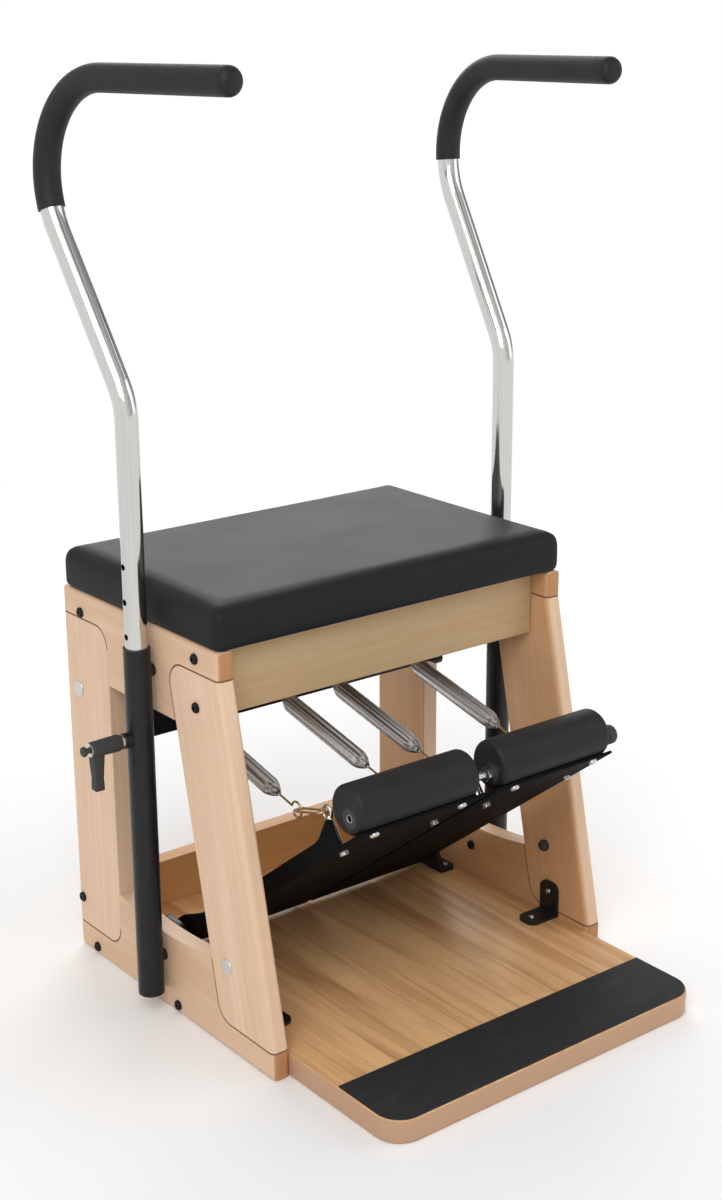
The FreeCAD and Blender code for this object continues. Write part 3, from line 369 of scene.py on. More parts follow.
def parted(tree, coordinate):
    """The X, Y and Z of a texture coordinate."""
    source = tree.nodes.new("ShaderNodeTexCoord")
    parts = tree.nodes.new("ShaderNodeSeparateXYZ")
    tree.links.new(source.outputs[coordinate], parts.inputs[0])
    return parts.outputs


def facing(tree, axis):
    """How far a surface faces along an axis."""
    return parted(tree, "Normal")[axis]


def inward_shade_mask(tree):
    """1 on faces that look towards the middle of the chair, 0 elsewhere: where the beech gets its painted
    shade.
    """
    outward = weigh(tree, "MULTIPLY", parted(tree, "Object")[X], facing(tree, X))
    return between(tree, outward, 1.0, 0.0, where=(-0.22, -0.12))


def marked(tree, name):
    """A mark that the mesh carries on its faces."""
    node = tree.nodes.new("ShaderNodeAttribute")
    node.attribute_name = name
    return node.outputs["Fac"]


def flecked(tree, wood, axis, dark, turn=STRAIGHT):
    """Wood with the short dark flecks of beech along its grain."""
    flecks = grain(tree, axis, width=0.0011, run=0.011, detail=1.0, turn=turn)
    return blend_colours(tree, between(tree, flecks, 0.0, 0.16, where=(0.60, 0.72)), wood, dark)


# Finishes


def beech(name, timber, axis, cast=WHITE, tilt=0.0, streak=1.0):
    """Oiled beech with its grain along an axis: broad bands, fibres, dark flecks, joint lines, and painted
    shade with orange bounce light on faces towards the middle.
    """
    tree, shader = shader_of(name)
    pale, deep = tinted(timber.pale, cast), tinted(timber.deep, cast)
    turn = (-tilt, 0.0, 0.0)
    bands = grain(tree, axis, width=0.055, run=0.80, detail=2.0, wander=0.6, turn=turn)
    fibres = grain(tree, axis, width=0.0065, run=0.22, wander=0.3, turn=turn)
    tone = between(tree, mixed(tree, bands, fibres, share=0.6), 0.0, streak, where=(0.36, 0.66))
    wood = blend_colours(tree, tone, pale, deep)
    wood = flecked(tree, wood, axis, shaded(deep, 0.55), turn)
    along = weigh(tree, "ABSOLUTE", facing(tree, axis), 0.0)
    ends = between(tree, along, 0.0, 1.0, where=(0.6, 0.9))
    wood = blend_colours(tree, ends, wood, tinted(deep, timber.end_cast))
    # Painted shade and painted orange bounce light: faces towards the middle of the chair are darkened and
    # warmed.
    wood = blend_colours(tree, inward_shade_mask(tree), wood, timber.inward_painted_shade, "MULTIPLY")
    wood = blend_colours(tree, marked(tree, JOINT_MARK), wood, timber.joint_tone)
    paint(tree, shader, wood, between(tree, fibres, 0.40, 0.54), shine=0.35)
    bump(tree, shader, fibres, depth=0.00025, strength=0.35)


def board_beech(name, timber):
    """Glued beech board: staves of differing tone and long brown streaks along Y."""
    tree, shader = shader_of(name)
    stave_run, stave_width = 0.62, 0.058
    staves = tree.nodes.new("ShaderNodeTexBrick")
    staves.offset = 0.37
    for socket in ("Scale", "Brick Width", "Row Height"):
        staves.inputs[socket].default_value = 1.0
    for socket in ("Mortar Size", "Bias"):
        staves.inputs[socket].default_value = 0.0
    staves.inputs["Color1"].default_value = (0.0, 0.0, 0.0, 1.0)
    staves.inputs["Color2"].default_value = (1.0, 1.0, 1.0, 1.0)
    lengthwise = place(tree, (stave_run, stave_width, 1.0), (0.0, 0.0, QUARTER_TURN))
    tree.links.new(lengthwise, staves.inputs["Vector"])
    streaks = grain(tree, Y, width=0.024, run=0.42, detail=4.0, wander=0.9)
    fibres = grain(tree, Y, width=0.005, run=0.20, wander=0.3)
    tone = between(tree, mixed(tree, streaks, fibres, share=0.72), 0.0, 0.78, where=(0.44, 0.68))
    tone = weigh(tree, "ADD", tone, weigh(tree, "MULTIPLY", staves.outputs["Color"], 0.16))
    wood = blend_colours(tree, tone, timber.board_pale, timber.board_deep)
    wood = flecked(tree, wood, Y, shaded(timber.board_deep, 0.5))
    top = between(tree, facing(tree, Z), 0.0, 1.0, where=(0.4, 0.8))
    wood = blend_colours(tree, top, timber.board_edge, wood)
    paint(tree, shader, wood, between(tree, fibres, 0.34, 0.48), shine=0.4)
    bump(tree, shader, fibres, depth=0.00025, strength=0.35)


def leatherette(name, tint):
    """Black cover with a fine pebble grain and a soft sheen."""
    tree, shader = shader_of(name)
    pebbles = cells(tree, 0.0016)
    creases = grain(tree, X, width=0.06, run=0.09, wander=0.2)
    shade = blend_colours(tree, between(tree, creases, 0.0, 1.0), shaded(tint, 0.92), tint)
    paint(tree, shader, shade, between(tree, creases, 0.46, 0.50), shine=0.1)
    relief = weigh(tree, "ADD", pebbles, weigh(tree, "MULTIPLY", creases, 0.6))
    bump(tree, shader, relief, depth=0.00018, strength=0.3)


def foam_rubber(name, tint):
    """Black closed-cell foam: dull, with fine open pores that carry painted shade."""
    tree, shader = shader_of(name)
    pores = mottle(tree, 0.0022, detail=2.0)
    clouds = mottle(tree, 0.03)
    shade = blend_colours(tree, between(tree, clouds, 0.0, 1.0), shaded(tint, 0.75), tint)
    # Painted shade in the pores: the foam is darkened inside them.
    pore_shade = between(tree, pores, 0.0, 0.3, where=(0.55, 0.75))
    shade = blend_colours(tree, pore_shade, shade, shaded(tint, 0.5))
    paint(tree, shader, shade, between(tree, pores, 0.50, 0.60), shine=0.28)
    bump(tree, shader, pores, depth=0.0001, strength=0.12)


def strip_rubber(name, tint, scuff):
    """Matt black rubber sheet with a fine emery-like grain and a few scuffs."""
    tree, shader = shader_of(name)
    grit = mottle(tree, 0.0009)
    scuffs = grain(tree, Y, width=0.05, run=0.018, detail=4.0, wander=0.5)
    shade = blend_colours(tree, between(tree, grit, 0.0, 1.0), shaded(tint, 0.7), shaded(tint, 1.35))
    shade = blend_colours(tree, between(tree, scuffs, 0.0, 0.14, where=(0.5, 0.8)), shade, scuff)
    paint(tree, shader, shade, between(tree, grit, 0.66, 0.86), shine=0.3)
    bump(tree, shader, grit, depth=0.0003, strength=0.6)


def black_coat(name, tint, rough, shine):
    """Black powder coat with a slight orange peel and rubbed spots."""
    tree, shader = shader_of(name)
    peel = mottle(tree, 0.0016, detail=1.0)
    rubs = mottle(tree, 0.03, detail=5.0, wander=0.3)
    shade = blend_colours(tree, between(tree, rubs, 0.0, 0.35, where=(0.5, 0.8)), tint, shaded(tint, 2.2))
    paint(tree, shader, shade, between(tree, rubs, *rough), shine)
    bump(tree, shader, peel, depth=0.00012, strength=0.35)


def moulded_plastic(name, tint):
    """Dark moulded plastic with a fine spark grain."""
    tree, shader = shader_of(name)
    grit = mottle(tree, 0.0006, detail=2.0)
    shade = blend_colours(tree, between(tree, grit, 0.0, 1.0), shaded(tint, 0.8), shaded(tint, 1.2))
    paint(tree, shader, shade, between(tree, grit, 0.36, 0.52))
    bump(tree, shader, grit, depth=0.0001, strength=0.4)


def drawn_metal(name, tint, axis, rough, streak=0.12, across=0.0012, lean=0.0, bright=1.0):
    """Bare metal, mirror-like or duller, with lines along an axis that may lean about X: drawing lines, and
    on the spring wire deep painted reflection streaks.
    """
    tree, shader = shader_of(name)
    lines = grain(tree, axis, width=across, run=0.35, turn=(lean, 0.0, 0.0))
    clouds = grain(tree, Z, width=0.03, run=0.05)
    share = between(tree, lines, 0.0, 1.0, where=(0.40, 0.60))
    shade = blend_colours(tree, share, shaded(tint, 1.0 - streak), tint)
    paint(tree, shader, shade, between(tree, clouds, *rough))
    shader.inputs["Metallic"].default_value = bright
    bump(tree, shader, lines, depth=0.00003, strength=0.2)


# Modelling helpers


def clear_selection():
    """Deselect everything, the packed solids among it."""
    bpy.ops.object.select_all(action="DESELECT")


def only(piece):
    """Make one piece the only selected and active object."""
    clear_selection()
    piece.select_set(True)
    bpy.context.view_layer.objects.active = piece


def set_place():
    """Put the active object's place, turn and scale into its mesh."""
    bpy.ops.object.transform_apply(location=True, rotation=True, scale=True)


def edit():
    """Go into edit mode with everything selected."""
    bpy.ops.object.mode_set(mode="EDIT")
    bpy.ops.mesh.select_all(action="SELECT")


def leave():
    """Leave edit mode."""
    bpy.ops.object.mode_set(mode="OBJECT")


def leave_outward():
    """Turn all faces outwards and leave edit mode."""
    bpy.ops.mesh.select_all(action="SELECT")
    bpy.ops.mesh.normals_make_consistent(inside=False)
    leave()


def pick(piece, kind, wanted):
    """In edit mode, select just the elements for which wanted is true."""
    bpy.ops.mesh.select_mode(type=kind)
    bpy.ops.mesh.select_all(action="DESELECT")
    mesh = bmesh.from_edit_mesh(piece.data)
    chosen = {"EDGE": mesh.edges, "FACE": mesh.faces}[kind]
    for element in [one for one in chosen if wanted(one)]:
        element.select_set(True)
    mesh.select_flush_mode()
    bmesh.update_edit_mesh(piece.data)


def draw_out(way):
    """In edit mode, extrude what is selected along a vector."""
    bpy.ops.mesh.extrude_region_move(TRANSFORM_OT_translate={"value": way})


def round_edges(offset, segments, **limits):
    """In edit mode, bevel the selected edges."""
    bpy.ops.mesh.bevel(offset=offset, segments=segments, affect="EDGES", **limits)


def apply_modifier(piece, name, kind, **values):
    """Give a piece a modifier with its values and apply it."""
    only(piece)
    modifier = piece.modifiers.new(name, kind)
    for key, value in values.items():
        setattr(modifier, key, value)
    bpy.ops.object.modifier_apply(modifier=modifier.name)


def settle(piece, name, finish, smooth=30.0):
    """Name a finished piece, put its place into its mesh, shade it and give it its finish."""
    only(piece)
    set_place()
    bpy.ops.object.shade_smooth_by_angle(angle=math.radians(smooth))
    piece.name = name
    piece.data.name = name
    piece.data.materials.clear()
    piece.data.materials.append(bpy.data.materials[finish])


def mirror(piece):
    """Swing a right-hand piece over to the left side."""
    only(piece)
    piece.scale.x = -1.0
    set_place()
    edit()
    leave_outward()


def both_sides(piece):
    """A right-hand piece and its mirror-image copy, each with its side."""
    only(piece)
    bpy.ops.object.duplicate(linked=False)
    twin = bpy.context.object
    twin.name = piece.name.replace("right", "left", 1)
    twin.data.name = twin.name
    mirror(twin)
    return (piece, "right"), (twin, "left")


def cross_bar(middle, radius, depth, sides):
    """A plain round bar along X."""
    clear_selection()
    bpy.ops.mesh.primitive_cylinder_add(
        vertices=sides, radius=radius, depth=depth, location=middle, rotation=(0.0, QUARTER_TURN, 0.0)
    )
    set_place()
    return bpy.context.object


def block(middle, size):
    """A plain block."""
    clear_selection()
    bpy.ops.mesh.primitive_cube_add(size=1.0, location=middle, scale=size)
    set_place()
    return bpy.context.object


def tube_ring(centre, way, radius, sides=40):
    """A filled ring facing along a direction, as the start of a drawn-out bar."""
    clear_selection()
    turn = way.to_track_quat("Z", "Y").to_euler()
    bpy.ops.mesh.primitive_circle_add(
        vertices=sides, radius=radius, fill_type="NGON", location=centre, rotation=turn
    )
    set_place()
    return bpy.context.object


def turned_bar(centre, way, stations, sides=48):
    """A turned form on an axis, through (distance, radius) stations."""
    first, radius = stations[0]
    piece = tube_ring(centre + way * first, way, radius, sides)
    edit()
    for (before, wide), (after, next_wide) in zip(stations, stations[1:]):
        draw_out(way * (after - before))
        bpy.ops.transform.resize(value=(next_wide / wide,) * 3, center_override=centre + way * after)
    leave_outward()
    return piece


def join(pieces):
    """One object of several, the first of them kept."""
    clear_selection()
    for piece in pieces:
        piece.select_set(True)
    bpy.context.view_layer.objects.active = pieces[0]
    bpy.ops.object.join()
    return bpy.context.object


def mark_joints(piece, boxes):
    """In edit mode, mark the selected faces that lie inside one of the boxes."""
    mesh = bmesh.from_edit_mesh(piece.data)
    mark = mesh.faces.layers.float.new(JOINT_MARK)
    for face in mesh.faces:
        spot = face.calc_center_median()
        inside = any(all(low[axis] < spot[axis] < high[axis] for axis in range(3)) for low, high in boxes)
        face[mark] = float(face.select and inside)
    bmesh.update_edit_mesh(piece.data)


def eased_copy(node, width, shortest, joints=()):
    """Merged copy of a solid with its long sharp edges eased, and those at joints marked."""
    flat, sharp = math.radians(0.4), math.radians(40.0)
    piece = bpy.data.objects.new(node + "_eased", frame["nodes"][node].data.copy())
    bpy.context.scene.collection.objects.link(piece)
    only(piece)
    edit()
    bpy.ops.mesh.remove_doubles(threshold=NEAR)
    bpy.ops.mesh.dissolve_limited(angle_limit=flat)

    def wanted(edge):
        return len(edge.link_faces) == 2 and edge.calc_length() > shortest and edge.calc_face_angle() > sharp

    pick(piece, "EDGE", wanted)
    round_edges(width, 3, clamp_overlap=False)
    if joints:
        mark_joints(piece, joints)
    leave()
    return piece


def fit_box(piece, low, high):
    """Stretch a piece to fill a box."""
    spots = [vert.co for vert in piece.data.vertices]
    for axis in range(3):
        values = [spot[axis] for spot in spots]
        least = min(values)
        share = (high[axis] - low[axis]) / (max(values) - least)
        for spot in spots:
            spot[axis] = low[axis] + (spot[axis] - least) * share


def body_of(node):
    """The body that carries a solid."""
    return frame["nodes"][node]["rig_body"]


def stand_for(piece, node):
    """Let a piece take a solid's place on its body."""
    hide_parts(node)
    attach(piece, body_of(node))


# Pieces


class CHAIR_OT_finishes(bpy.types.Operator):
    """Make all finishes"""

    bl_idname = "chair.finishes"
    bl_label = "Finishes"

    def execute(self, context):
        timber = context.scene.chair_timber
        soft = context.scene.chair_upholstery
        metal = context.scene.chair_springs
        beech("beech_upright", timber, Z)
        beech("beech_leaning", timber, Z, tilt=timber.leg_tilt)
        beech("beech_rail", timber, Y, timber.rail_cast)
        beech("beech_cross", timber, X, timber.apron_cast)
        beech("beech_inner", timber, X, timber.rear_cast)
        beech("plywood", timber, X, streak=0.6)
        board_beech("beech_board", timber)
        strip_rubber("strip_rubber", timber.strip, timber.scuff)
        leatherette("seat_leatherette", soft.leather)
        foam_rubber("black_foam", soft.foam)
        black_coat("black_powder_coat", metal.black, rough=(0.28, 0.40), shine=0.26)
        black_coat("black_bolt_coat", shaded(metal.black, 0.6), rough=(0.34, 0.46), shine=0.16)
        black_coat("pedal_coat", shaded(metal.black, 0.45), rough=(0.62, 0.74), shine=0.04)
        moulded_plastic("black_plastic", metal.plastic)
        moulded_plastic("dark_nylon", metal.nylon)
        drawn_metal("polished_chrome", metal.chrome, Z, rough=(0.08, 0.14), streak=0.08)
        # The spring wire's deep light and dark streaks along its axis are painted reflections.
        lean = math.atan2(SPRING_WAY.z, SPRING_WAY.y)
        painted_streaks = {"streak": 0.82, "across": 0.0032, "lean": lean}
        drawn_metal("spring_wire", metal.steel, Y, rough=(0.20, 0.28), bright=0.5, **painted_streaks)
        drawn_metal("brass_wire", metal.brass, Y, rough=(0.25, 0.38))
        drawn_metal("zinc_plate", metal.zinc, X, rough=(0.22, 0.34))
        drawn_metal("satin_cap", metal.cap, Y, rough=(0.30, 0.42))
        return {"FINISHED"}


class CHAIR_OT_timber(bpy.types.Operator):
    """Ease the edges of the beech frame and boards and finish them"""

    bl_idname = "chair.timber"
    bl_label = "Timber"

    def execute(self, context):
        timber = context.scene.chair_timber
        finishes = {"front_apron": "beech_cross", "rear_apron": "beech_cross", "rear_board": "beech_inner"}
        for side in SIDES:
            finishes[side + "_front_leg"] = "beech_leaning"
            finishes[side + "_rear_leg"] = "beech_upright"
            finishes[side + "_top_rail"] = "beech_rail"
            finishes[side + "_bottom_rail"] = "beech_rail"
        joints = self.joint_boxes(timber)
        for node, finish in finishes.items():
            piece = eased_copy(node, timber.edge, timber.shortest, joints)
            settle(piece, node + "_timber", finish)
            apply_modifier(piece, "Even shading", "WEIGHTED_NORMAL", keep_sharp=True)
            stand_for(piece, node)
        board = eased_copy("base_board", 2 * timber.edge, timber.edge)
        settle(board, "base_board_timber", "beech_board")
        stand_for(board, "base_board")
        strip = eased_copy("base_grip_strip", timber.edge / 3, timber.edge)
        settle(strip, "base_grip_strip_rubber", "strip_rubber")
        stand_for(strip, "base_grip_strip")
        return {"FINISHED"}

    def joint_boxes(self, timber):
        """Where legs and rails are let into each other: inside the rails, and at the leg ends."""
        margin = Vector((-timber.edge, timber.joint_inset, timber.joint_margin))
        slack = Vector((timber.edge,) * 3) * 3
        boxes = []
        for side in SIDES:
            for rail in ("_top_rail", "_bottom_rail"):
                low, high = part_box(side + rail)
                boxes.append((low + margin, high - margin))
            for leg in ("_front_leg", "_rear_leg"):
                low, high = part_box(side + leg)
                boxes.append((low - slack, Vector((high.x, high.y, low.z)) + slack))
                boxes.append((Vector((low.x, low.y, high.z)) - slack, high + slack))
        return boxes


class CHAIR_OT_seat(bpy.types.Operator):
    """Model and fill the seat pad"""

    bl_idname = "chair.seat"
    bl_label = "Seat pad"

    def execute(self, context):
        soft = context.scene.chair_upholstery
        low = CUSHION_LOW + Vector((soft.slack, soft.slack, 0.0))
        high = CUSHION_HIGH - Vector((soft.slack, soft.slack, soft.slack))
        pad = self.shape(soft, low, high)
        apply_modifier(pad, "Mesh size", "REMESH", mode="VOXEL", voxel_size=soft.voxel)
        self.crown(soft, pad, low, high)
        self.fill(context, pad, low.z)
        apply_modifier(pad, "Calm cover", "SMOOTH", factor=0.5, iterations=soft.calm)
        apply_modifier(pad, "Smooth skin", "SUBSURF", levels=1, render_levels=1)
        proud = soft.proud
        fit_box(pad, CUSHION_LOW - Vector((proud, proud, 0.0)), CUSHION_HIGH + Vector((proud, 0.0, 0.0)))
        settle(pad, "seat_pad", "seat_leatherette", smooth=60.0)
        stand_for(pad, "seat_cushion")
        return {"FINISHED"}

    def shape(self, soft, low, high):
        """A block with round corners, a rolled top edge and a small roll at the hem."""
        pad = block((low + high) / 2, high - low)
        edit()
        upright = (high.z - low.z) / 2
        pick(pad, "EDGE", lambda edge: abs(edge.verts[0].co.z - edge.verts[1].co.z) > upright)
        round_edges(soft.corner, 8)
        pick(pad, "EDGE", lambda edge: all(abs(vert.co.z - high.z) < NEAR for vert in edge.verts))
        round_edges(soft.brow, 5)
        pick(pad, "EDGE", lambda edge: all(abs(vert.co.z - low.z) < NEAR for vert in edge.verts))
        round_edges(soft.hem, 3)
        leave()
        return pad

    def crown(self, soft, pad, low, high):
        """Pull the sides in between the corners and raise the middle of the top."""
        side_power, rise_power = 6, 3
        middle = (low + high) / 2
        half = (high - low) / 2
        for vert in pad.data.vertices:
            out = vert.co - middle
            share_x = 1.0 - (out.x / half.x) ** 2
            share_y = 1.0 - (out.y / half.y) ** 2
            rise = max(0.0, min(1.0, (vert.co.z - low.z) / (high.z - low.z)))
            vert.co.x -= math.copysign(soft.draw_in, out.x) * share_y * (abs(out.x) / half.x) ** side_power
            vert.co.y -= math.copysign(soft.draw_in, out.y) * share_x * (abs(out.y) / half.y) ** side_power
            vert.co.z += soft.slack / 2 * rise**rise_power * max(0.0, share_x) * max(0.0, share_y)

    def fill(self, context, pad, rest):
        """Swell the pad by a pressure simulation, its underside held, and keep a capped result."""
        soft = context.scene.chair_upholstery
        held = pad.vertex_groups.new(name="held")
        underside = [vert.index for vert in pad.data.vertices if vert.co.z < rest + soft.hem]
        held.add(underside, 1.0, "REPLACE")
        cloth = pad.modifiers.new("Filling", "CLOTH")
        settings = cloth.settings
        settings.quality = 4
        settings.mass = 0.4
        settings.tension_stiffness = 30.0
        settings.compression_stiffness = 30.0
        settings.bending_stiffness = 12.0
        settings.use_pressure = True
        settings.uniform_pressure_force = soft.pressure
        settings.vertex_group_mass = held.name
        settings.effector_weights.gravity = 0.0
        cloth.point_cache.frame_start = FIRST_FRAME
        cloth.point_cache.frame_end = LAST_FRAME
        for step in range(FIRST_FRAME, LAST_FRAME + 1):
            context.scene.frame_set(step)
        evaluated = pad.evaluated_get(context.evaluated_depsgraph_get())
        swollen = [vert.co.copy() for vert in evaluated.data.vertices]
        pad.modifiers.remove(cloth)
        context.scene.frame_set(FIRST_FRAME)
        for vert, there in zip(pad.data.vertices, swollen):
            move = there - vert.co
            if move.length > soft.give:
                move = move.normalized() * soft.give
            vert.co += move
            vert.co.z = max(rest, vert.co.z)
        pad.vertex_groups.clear()


class CHAIR_OT_foot_pads(bpy.types.Operator):
    """Model the foam foot pads with rolled ends round their cores"""

    bl_idname = "chair.foot_pads"
    bl_label = "Foot pads"

    def execute(self, context):
        soft = context.scene.chair_upholstery
        size = FOOT_PAD_HIGH - FOOT_PAD_LOW
        pad = cross_bar((FOOT_PAD_LOW + FOOT_PAD_HIGH) / 2, size.z / 2, size.x, sides=64)
        edit()
        pick(pad, "EDGE", lambda edge: abs(edge.verts[0].co.x - edge.verts[1].co.x) < NEAR)
        round_edges(soft.pad_round, 8)
        leave()
        core = (CORE_LOW + CORE_HIGH) / 2
        drill = cross_bar(core, soft.core, 2 * size.x, sides=48)
        apply_modifier(pad, "Core bore", "BOOLEAN", operation="DIFFERENCE", object=drill)
        bpy.data.objects.remove(drill)
        settle(pad, "right_foot_pad_foam", "black_foam", smooth=35.0)
        for piece, side in both_sides(pad):
            stand_for(piece, side + "_foot_pad")
        self.add_metal(soft, core)
        return {"FINISHED"}

    def add_metal(self, soft, core):
        """Bright ferrules round the cores' necks and a bright lip in the left pad's outer bore."""
        ferrule = tube_ring(Vector((CORE_LOW.x, core.y, core.z)), OUT, soft.ferrule)
        edit()
        bpy.ops.mesh.inset(thickness=soft.ferrule_wall, depth=0.0)
        bpy.ops.mesh.delete(type="FACE")
        bpy.ops.mesh.select_all(action="SELECT")
        draw_out(OUT * (FOOT_PAD_LOW.x - CORE_LOW.x))
        leave_outward()
        settle(ferrule, "right_pad_ferrule", "zinc_plate")
        clear_selection()
        bpy.ops.mesh.primitive_torus_add(
            major_radius=soft.lip,
            minor_radius=soft.lip_wire,
            major_segments=32,
            minor_segments=10,
            location=(-FOOT_PAD_HIGH.x + soft.lip_wire, core.y, core.z),
            rotation=(0.0, QUARTER_TURN, 0.0),
        )
        lip = bpy.context.object
        settle(lip, "left_pad_bore_lip", "zinc_plate", smooth=60.0)
        pieces = [(piece, side + "_pedal") for piece, side in both_sides(ferrule)]
        for piece, body in (*pieces, (lip, "left_pedal")):
            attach(piece, body)


class CHAIR_OT_grips(bpy.types.Operator):
    """Draw out the foam grips round the handles' elbows"""

    bl_idname = "chair.grips"
    bl_label = "Grips"

    def execute(self, context):
        handle = context.scene.chair_handles
        for side, bare in (("right", handle.bare_right), ("left", handle.bare_left)):
            grip = self.draw_grip(handle, bare)
            settle(grip, side + "_grip_foam", "black_foam", smooth=45.0)
            if side == "left":
                mirror(grip)
            stand_for(grip, side + "_handle_grip")
        return {"FINISHED"}

    def draw_grip(self, handle, bare):
        """One grip on the right-hand pole, its lower end a bare angle up the elbow."""
        axis_x, axis_y, _ = LEVER_AXIS
        back = (handle.grip_line - handle.bend_height) * math.tan(handle.lean)
        elbow = Vector((axis_x, axis_y + back, handle.grip_line))
        sweep = QUARTER_TURN + handle.lean
        arc_top = elbow + FORWARD * (handle.elbow * math.tan(sweep / 2))
        bend_middle = arc_top + DOWN * handle.elbow
        sweep -= bare
        spoke = Vector((0.0, math.sin(sweep), math.cos(sweep)))
        way = Vector((0.0, -math.cos(sweep), math.sin(sweep)))
        grip = tube_ring(bend_middle + spoke * handle.elbow, way, handle.grip_radius)
        edit()
        bpy.ops.mesh.spin(steps=28, angle=-sweep, center=bend_middle, axis=OUT, dupli=False)
        extent = axis_y - GRIP_LOW.y - handle.tip_round
        extent -= (handle.grip_radius - handle.tip_round) * math.sin(handle.toe_in)
        tip = axis_y - extent / math.cos(handle.toe_in) - handle.tip_round
        stretches = 6
        for _ in range(stretches):
            draw_out(FORWARD * ((arc_top.y - tip) / stretches))
        pick(grip, "EDGE", lambda edge: all(abs(vert.co.y - tip) < NEAR for vert in edge.verts))
        round_edges(handle.tip_round, 10)
        bpy.ops.mesh.select_all(action="SELECT")
        bpy.ops.mesh.remove_doubles(threshold=NEAR)
        pivot = Vector((axis_x, axis_y, handle.grip_line))
        bpy.ops.transform.rotate(value=handle.toe_in, orient_axis="Z", center_override=pivot)
        leave_outward()
        return grip


class CHAIR_OT_springs(bpy.types.Operator):
    """Wind the close-wound springs with drawn-in ends"""

    bl_idname = "chair.springs"
    bl_label = "Springs"

    def execute(self, context):
        spring = context.scene.chair_springs
        for side in SIDES:
            for spot in ("inner", "outer"):
                node = side + "_" + spot + "_spring"
                low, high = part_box(node)
                anchor = Vector(((low.x + high.x) / 2, SPRING_ANCHOR.y, SPRING_ANCHOR.z))
                piece = self.wind(spring, anchor)
                settle(piece, node + "_coil", "spring_wire", smooth=60.0)
                self.calm_sheen(spring, piece, anchor)
                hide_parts(node)
                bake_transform(piece)
        return {"FINISHED"}

    def wind(self, spring, anchor):
        """One spring as a wire on a helix whose ends draw in to the axis."""
        up = SPRING_WAY.cross(OUT)
        steps = 16
        full = spring.radius - spring.wire / 2
        narrow = spring.mouth - spring.wire / 2
        stub = 2.5 * spring.wire
        low = spring.start + stub
        high = spring.end - stub
        points = [anchor + SPRING_WAY * spring.start]
        for step in range(spring.turns * steps + 1):
            turn = step / steps
            to_end = min(1.0, min(turn, spring.turns - turn) / spring.drawn_turns)
            wide = narrow + (full - narrow) * math.sin(to_end * QUARTER_TURN)
            around = 2 * math.pi * turn
            rim = OUT * (wide * math.cos(around)) + up * (wide * math.sin(around))
            points.append(anchor + SPRING_WAY * (low + (high - low) * turn / spring.turns) + rim)
        points.append(anchor + SPRING_WAY * spring.end)
        clear_selection()
        bpy.ops.curve.primitive_nurbs_path_add()
        curve = bpy.context.object.data
        curve.splines.clear()
        line = curve.splines.new("POLY")
        line.points.add(len(points) - 1)
        for spot, point in zip(line.points, points):
            spot.co = (*point, 1.0)
        curve.dimensions = "3D"
        curve.bevel_depth = spring.wire / 2
        curve.bevel_resolution = 1
        curve.use_fill_caps = True
        bpy.ops.object.convert(target="MESH")
        return bpy.context.object

    def calm_sheen(self, spring, piece, anchor):
        """Turn the wire's outer normals away from the axis, so that the close turns share one sheen."""
        inner = -0.5
        normals = []
        for vert in piece.data.vertices:
            out = vert.co - anchor
            out = (out - SPRING_WAY * out.dot(SPRING_WAY)).normalized()
            calm = vert.normal.lerp(out, spring.calm) if vert.normal.dot(out) > inner else vert.normal
            normals.append(calm.normalized())
        piece.data.normals_split_custom_set_from_vertices(normals)


class CHAIR_OT_levers(bpy.types.Operator):
    """Model the clamp levers with their washers and end buttons"""

    bl_idname = "chair.levers"
    bl_label = "Clamp levers"

    def execute(self, context):
        handle = context.scene.chair_handles
        root = Vector((LEVER_LOW.x, LEVER_AXIS.y, LEVER_AXIS.z))
        tip = root + OUT * handle.hub_length
        lever = join([self.hub(handle, root), self.arm(handle, tip), self.button(tip)])
        settle(lever, "right_clamp_lever_body", "black_plastic", smooth=35.0)
        spots = ((root, 0.98), (tip, 0.80))
        washers = join([self.washer(spot, handle.hub_radius * share) for spot, share in spots])
        settle(washers, "right_lever_washers", "zinc_plate", smooth=35.0)
        for piece, side in both_sides(lever):
            stand_for(piece, side + "_clamp_lever")
        for piece, side in both_sides(washers):
            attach(piece, side + "_lever")
        return {"FINISHED"}

    def hub(self, handle, root):
        """Round hub, widest near its foot."""
        lip, shoulder, rounding = 0.0015, 0.004, 0.002
        span = handle.hub_length
        distances = (0.0, lip, shoulder, span * 0.45, span * 0.90, span - rounding, span)
        shares = (0.80, 0.93, 1.0, 0.97, 0.92, 0.88, 0.76)
        stations = [(spot, handle.hub_radius * share) for spot, share in zip(distances, shares)]
        return turned_bar(root, OUT, stations)

    def arm(self, handle, tip):
        """Arm that hangs from the hub's outer end and narrows to a flared foot."""
        # Length and narrowing of each stretch, the last a thin sole.
        stretches = [(handle.arm_length * share, keep) for share, keep in ((0.30, 0.90), (0.40, 0.84))]
        stretches += [(handle.arm_length * 0.15, keep) for keep in (1.06, 1.02)] + [(0.0008, 0.9)]
        head = Vector((handle.arm_width, handle.arm_depth, handle.arm_head))
        arm = block(tip - OUT * (handle.arm_width * 0.62), head)
        edit()
        pick(arm, "FACE", lambda face: face.normal.z < -0.9)
        for run, keep in stretches:
            draw_out(DOWN * run)
            bpy.ops.transform.resize(value=(keep, keep, 1.0))
        bpy.ops.mesh.select_all(action="SELECT")
        round_edges(handle.arm_edge, 2, clamp_overlap=True)
        leave()
        return arm

    def button(self, tip):
        """Button on a neck at the hub's outer end."""
        neck, rim, edge = 0.0040, 0.0070, 0.0055
        stations = [(-0.001, neck), (0.0055, neck), (0.0060, 0.0062)]
        stations += [(0.0070, rim), (0.0105, rim), (0.0118, edge)]
        return turned_bar(tip, OUT, stations, sides=32)

    def washer(self, spot, wide):
        """Chamfered washer, sunk a little before a spot on the hub's axis."""
        sink, chamfer, thick, narrow = 0.0009, 0.0004, 0.0020, wide * 0.86
        stations = [(0.0, narrow), (chamfer, wide), (thick - chamfer, wide), (thick, narrow)]
        return turned_bar(spot - OUT * sink, OUT, stations, sides=40)


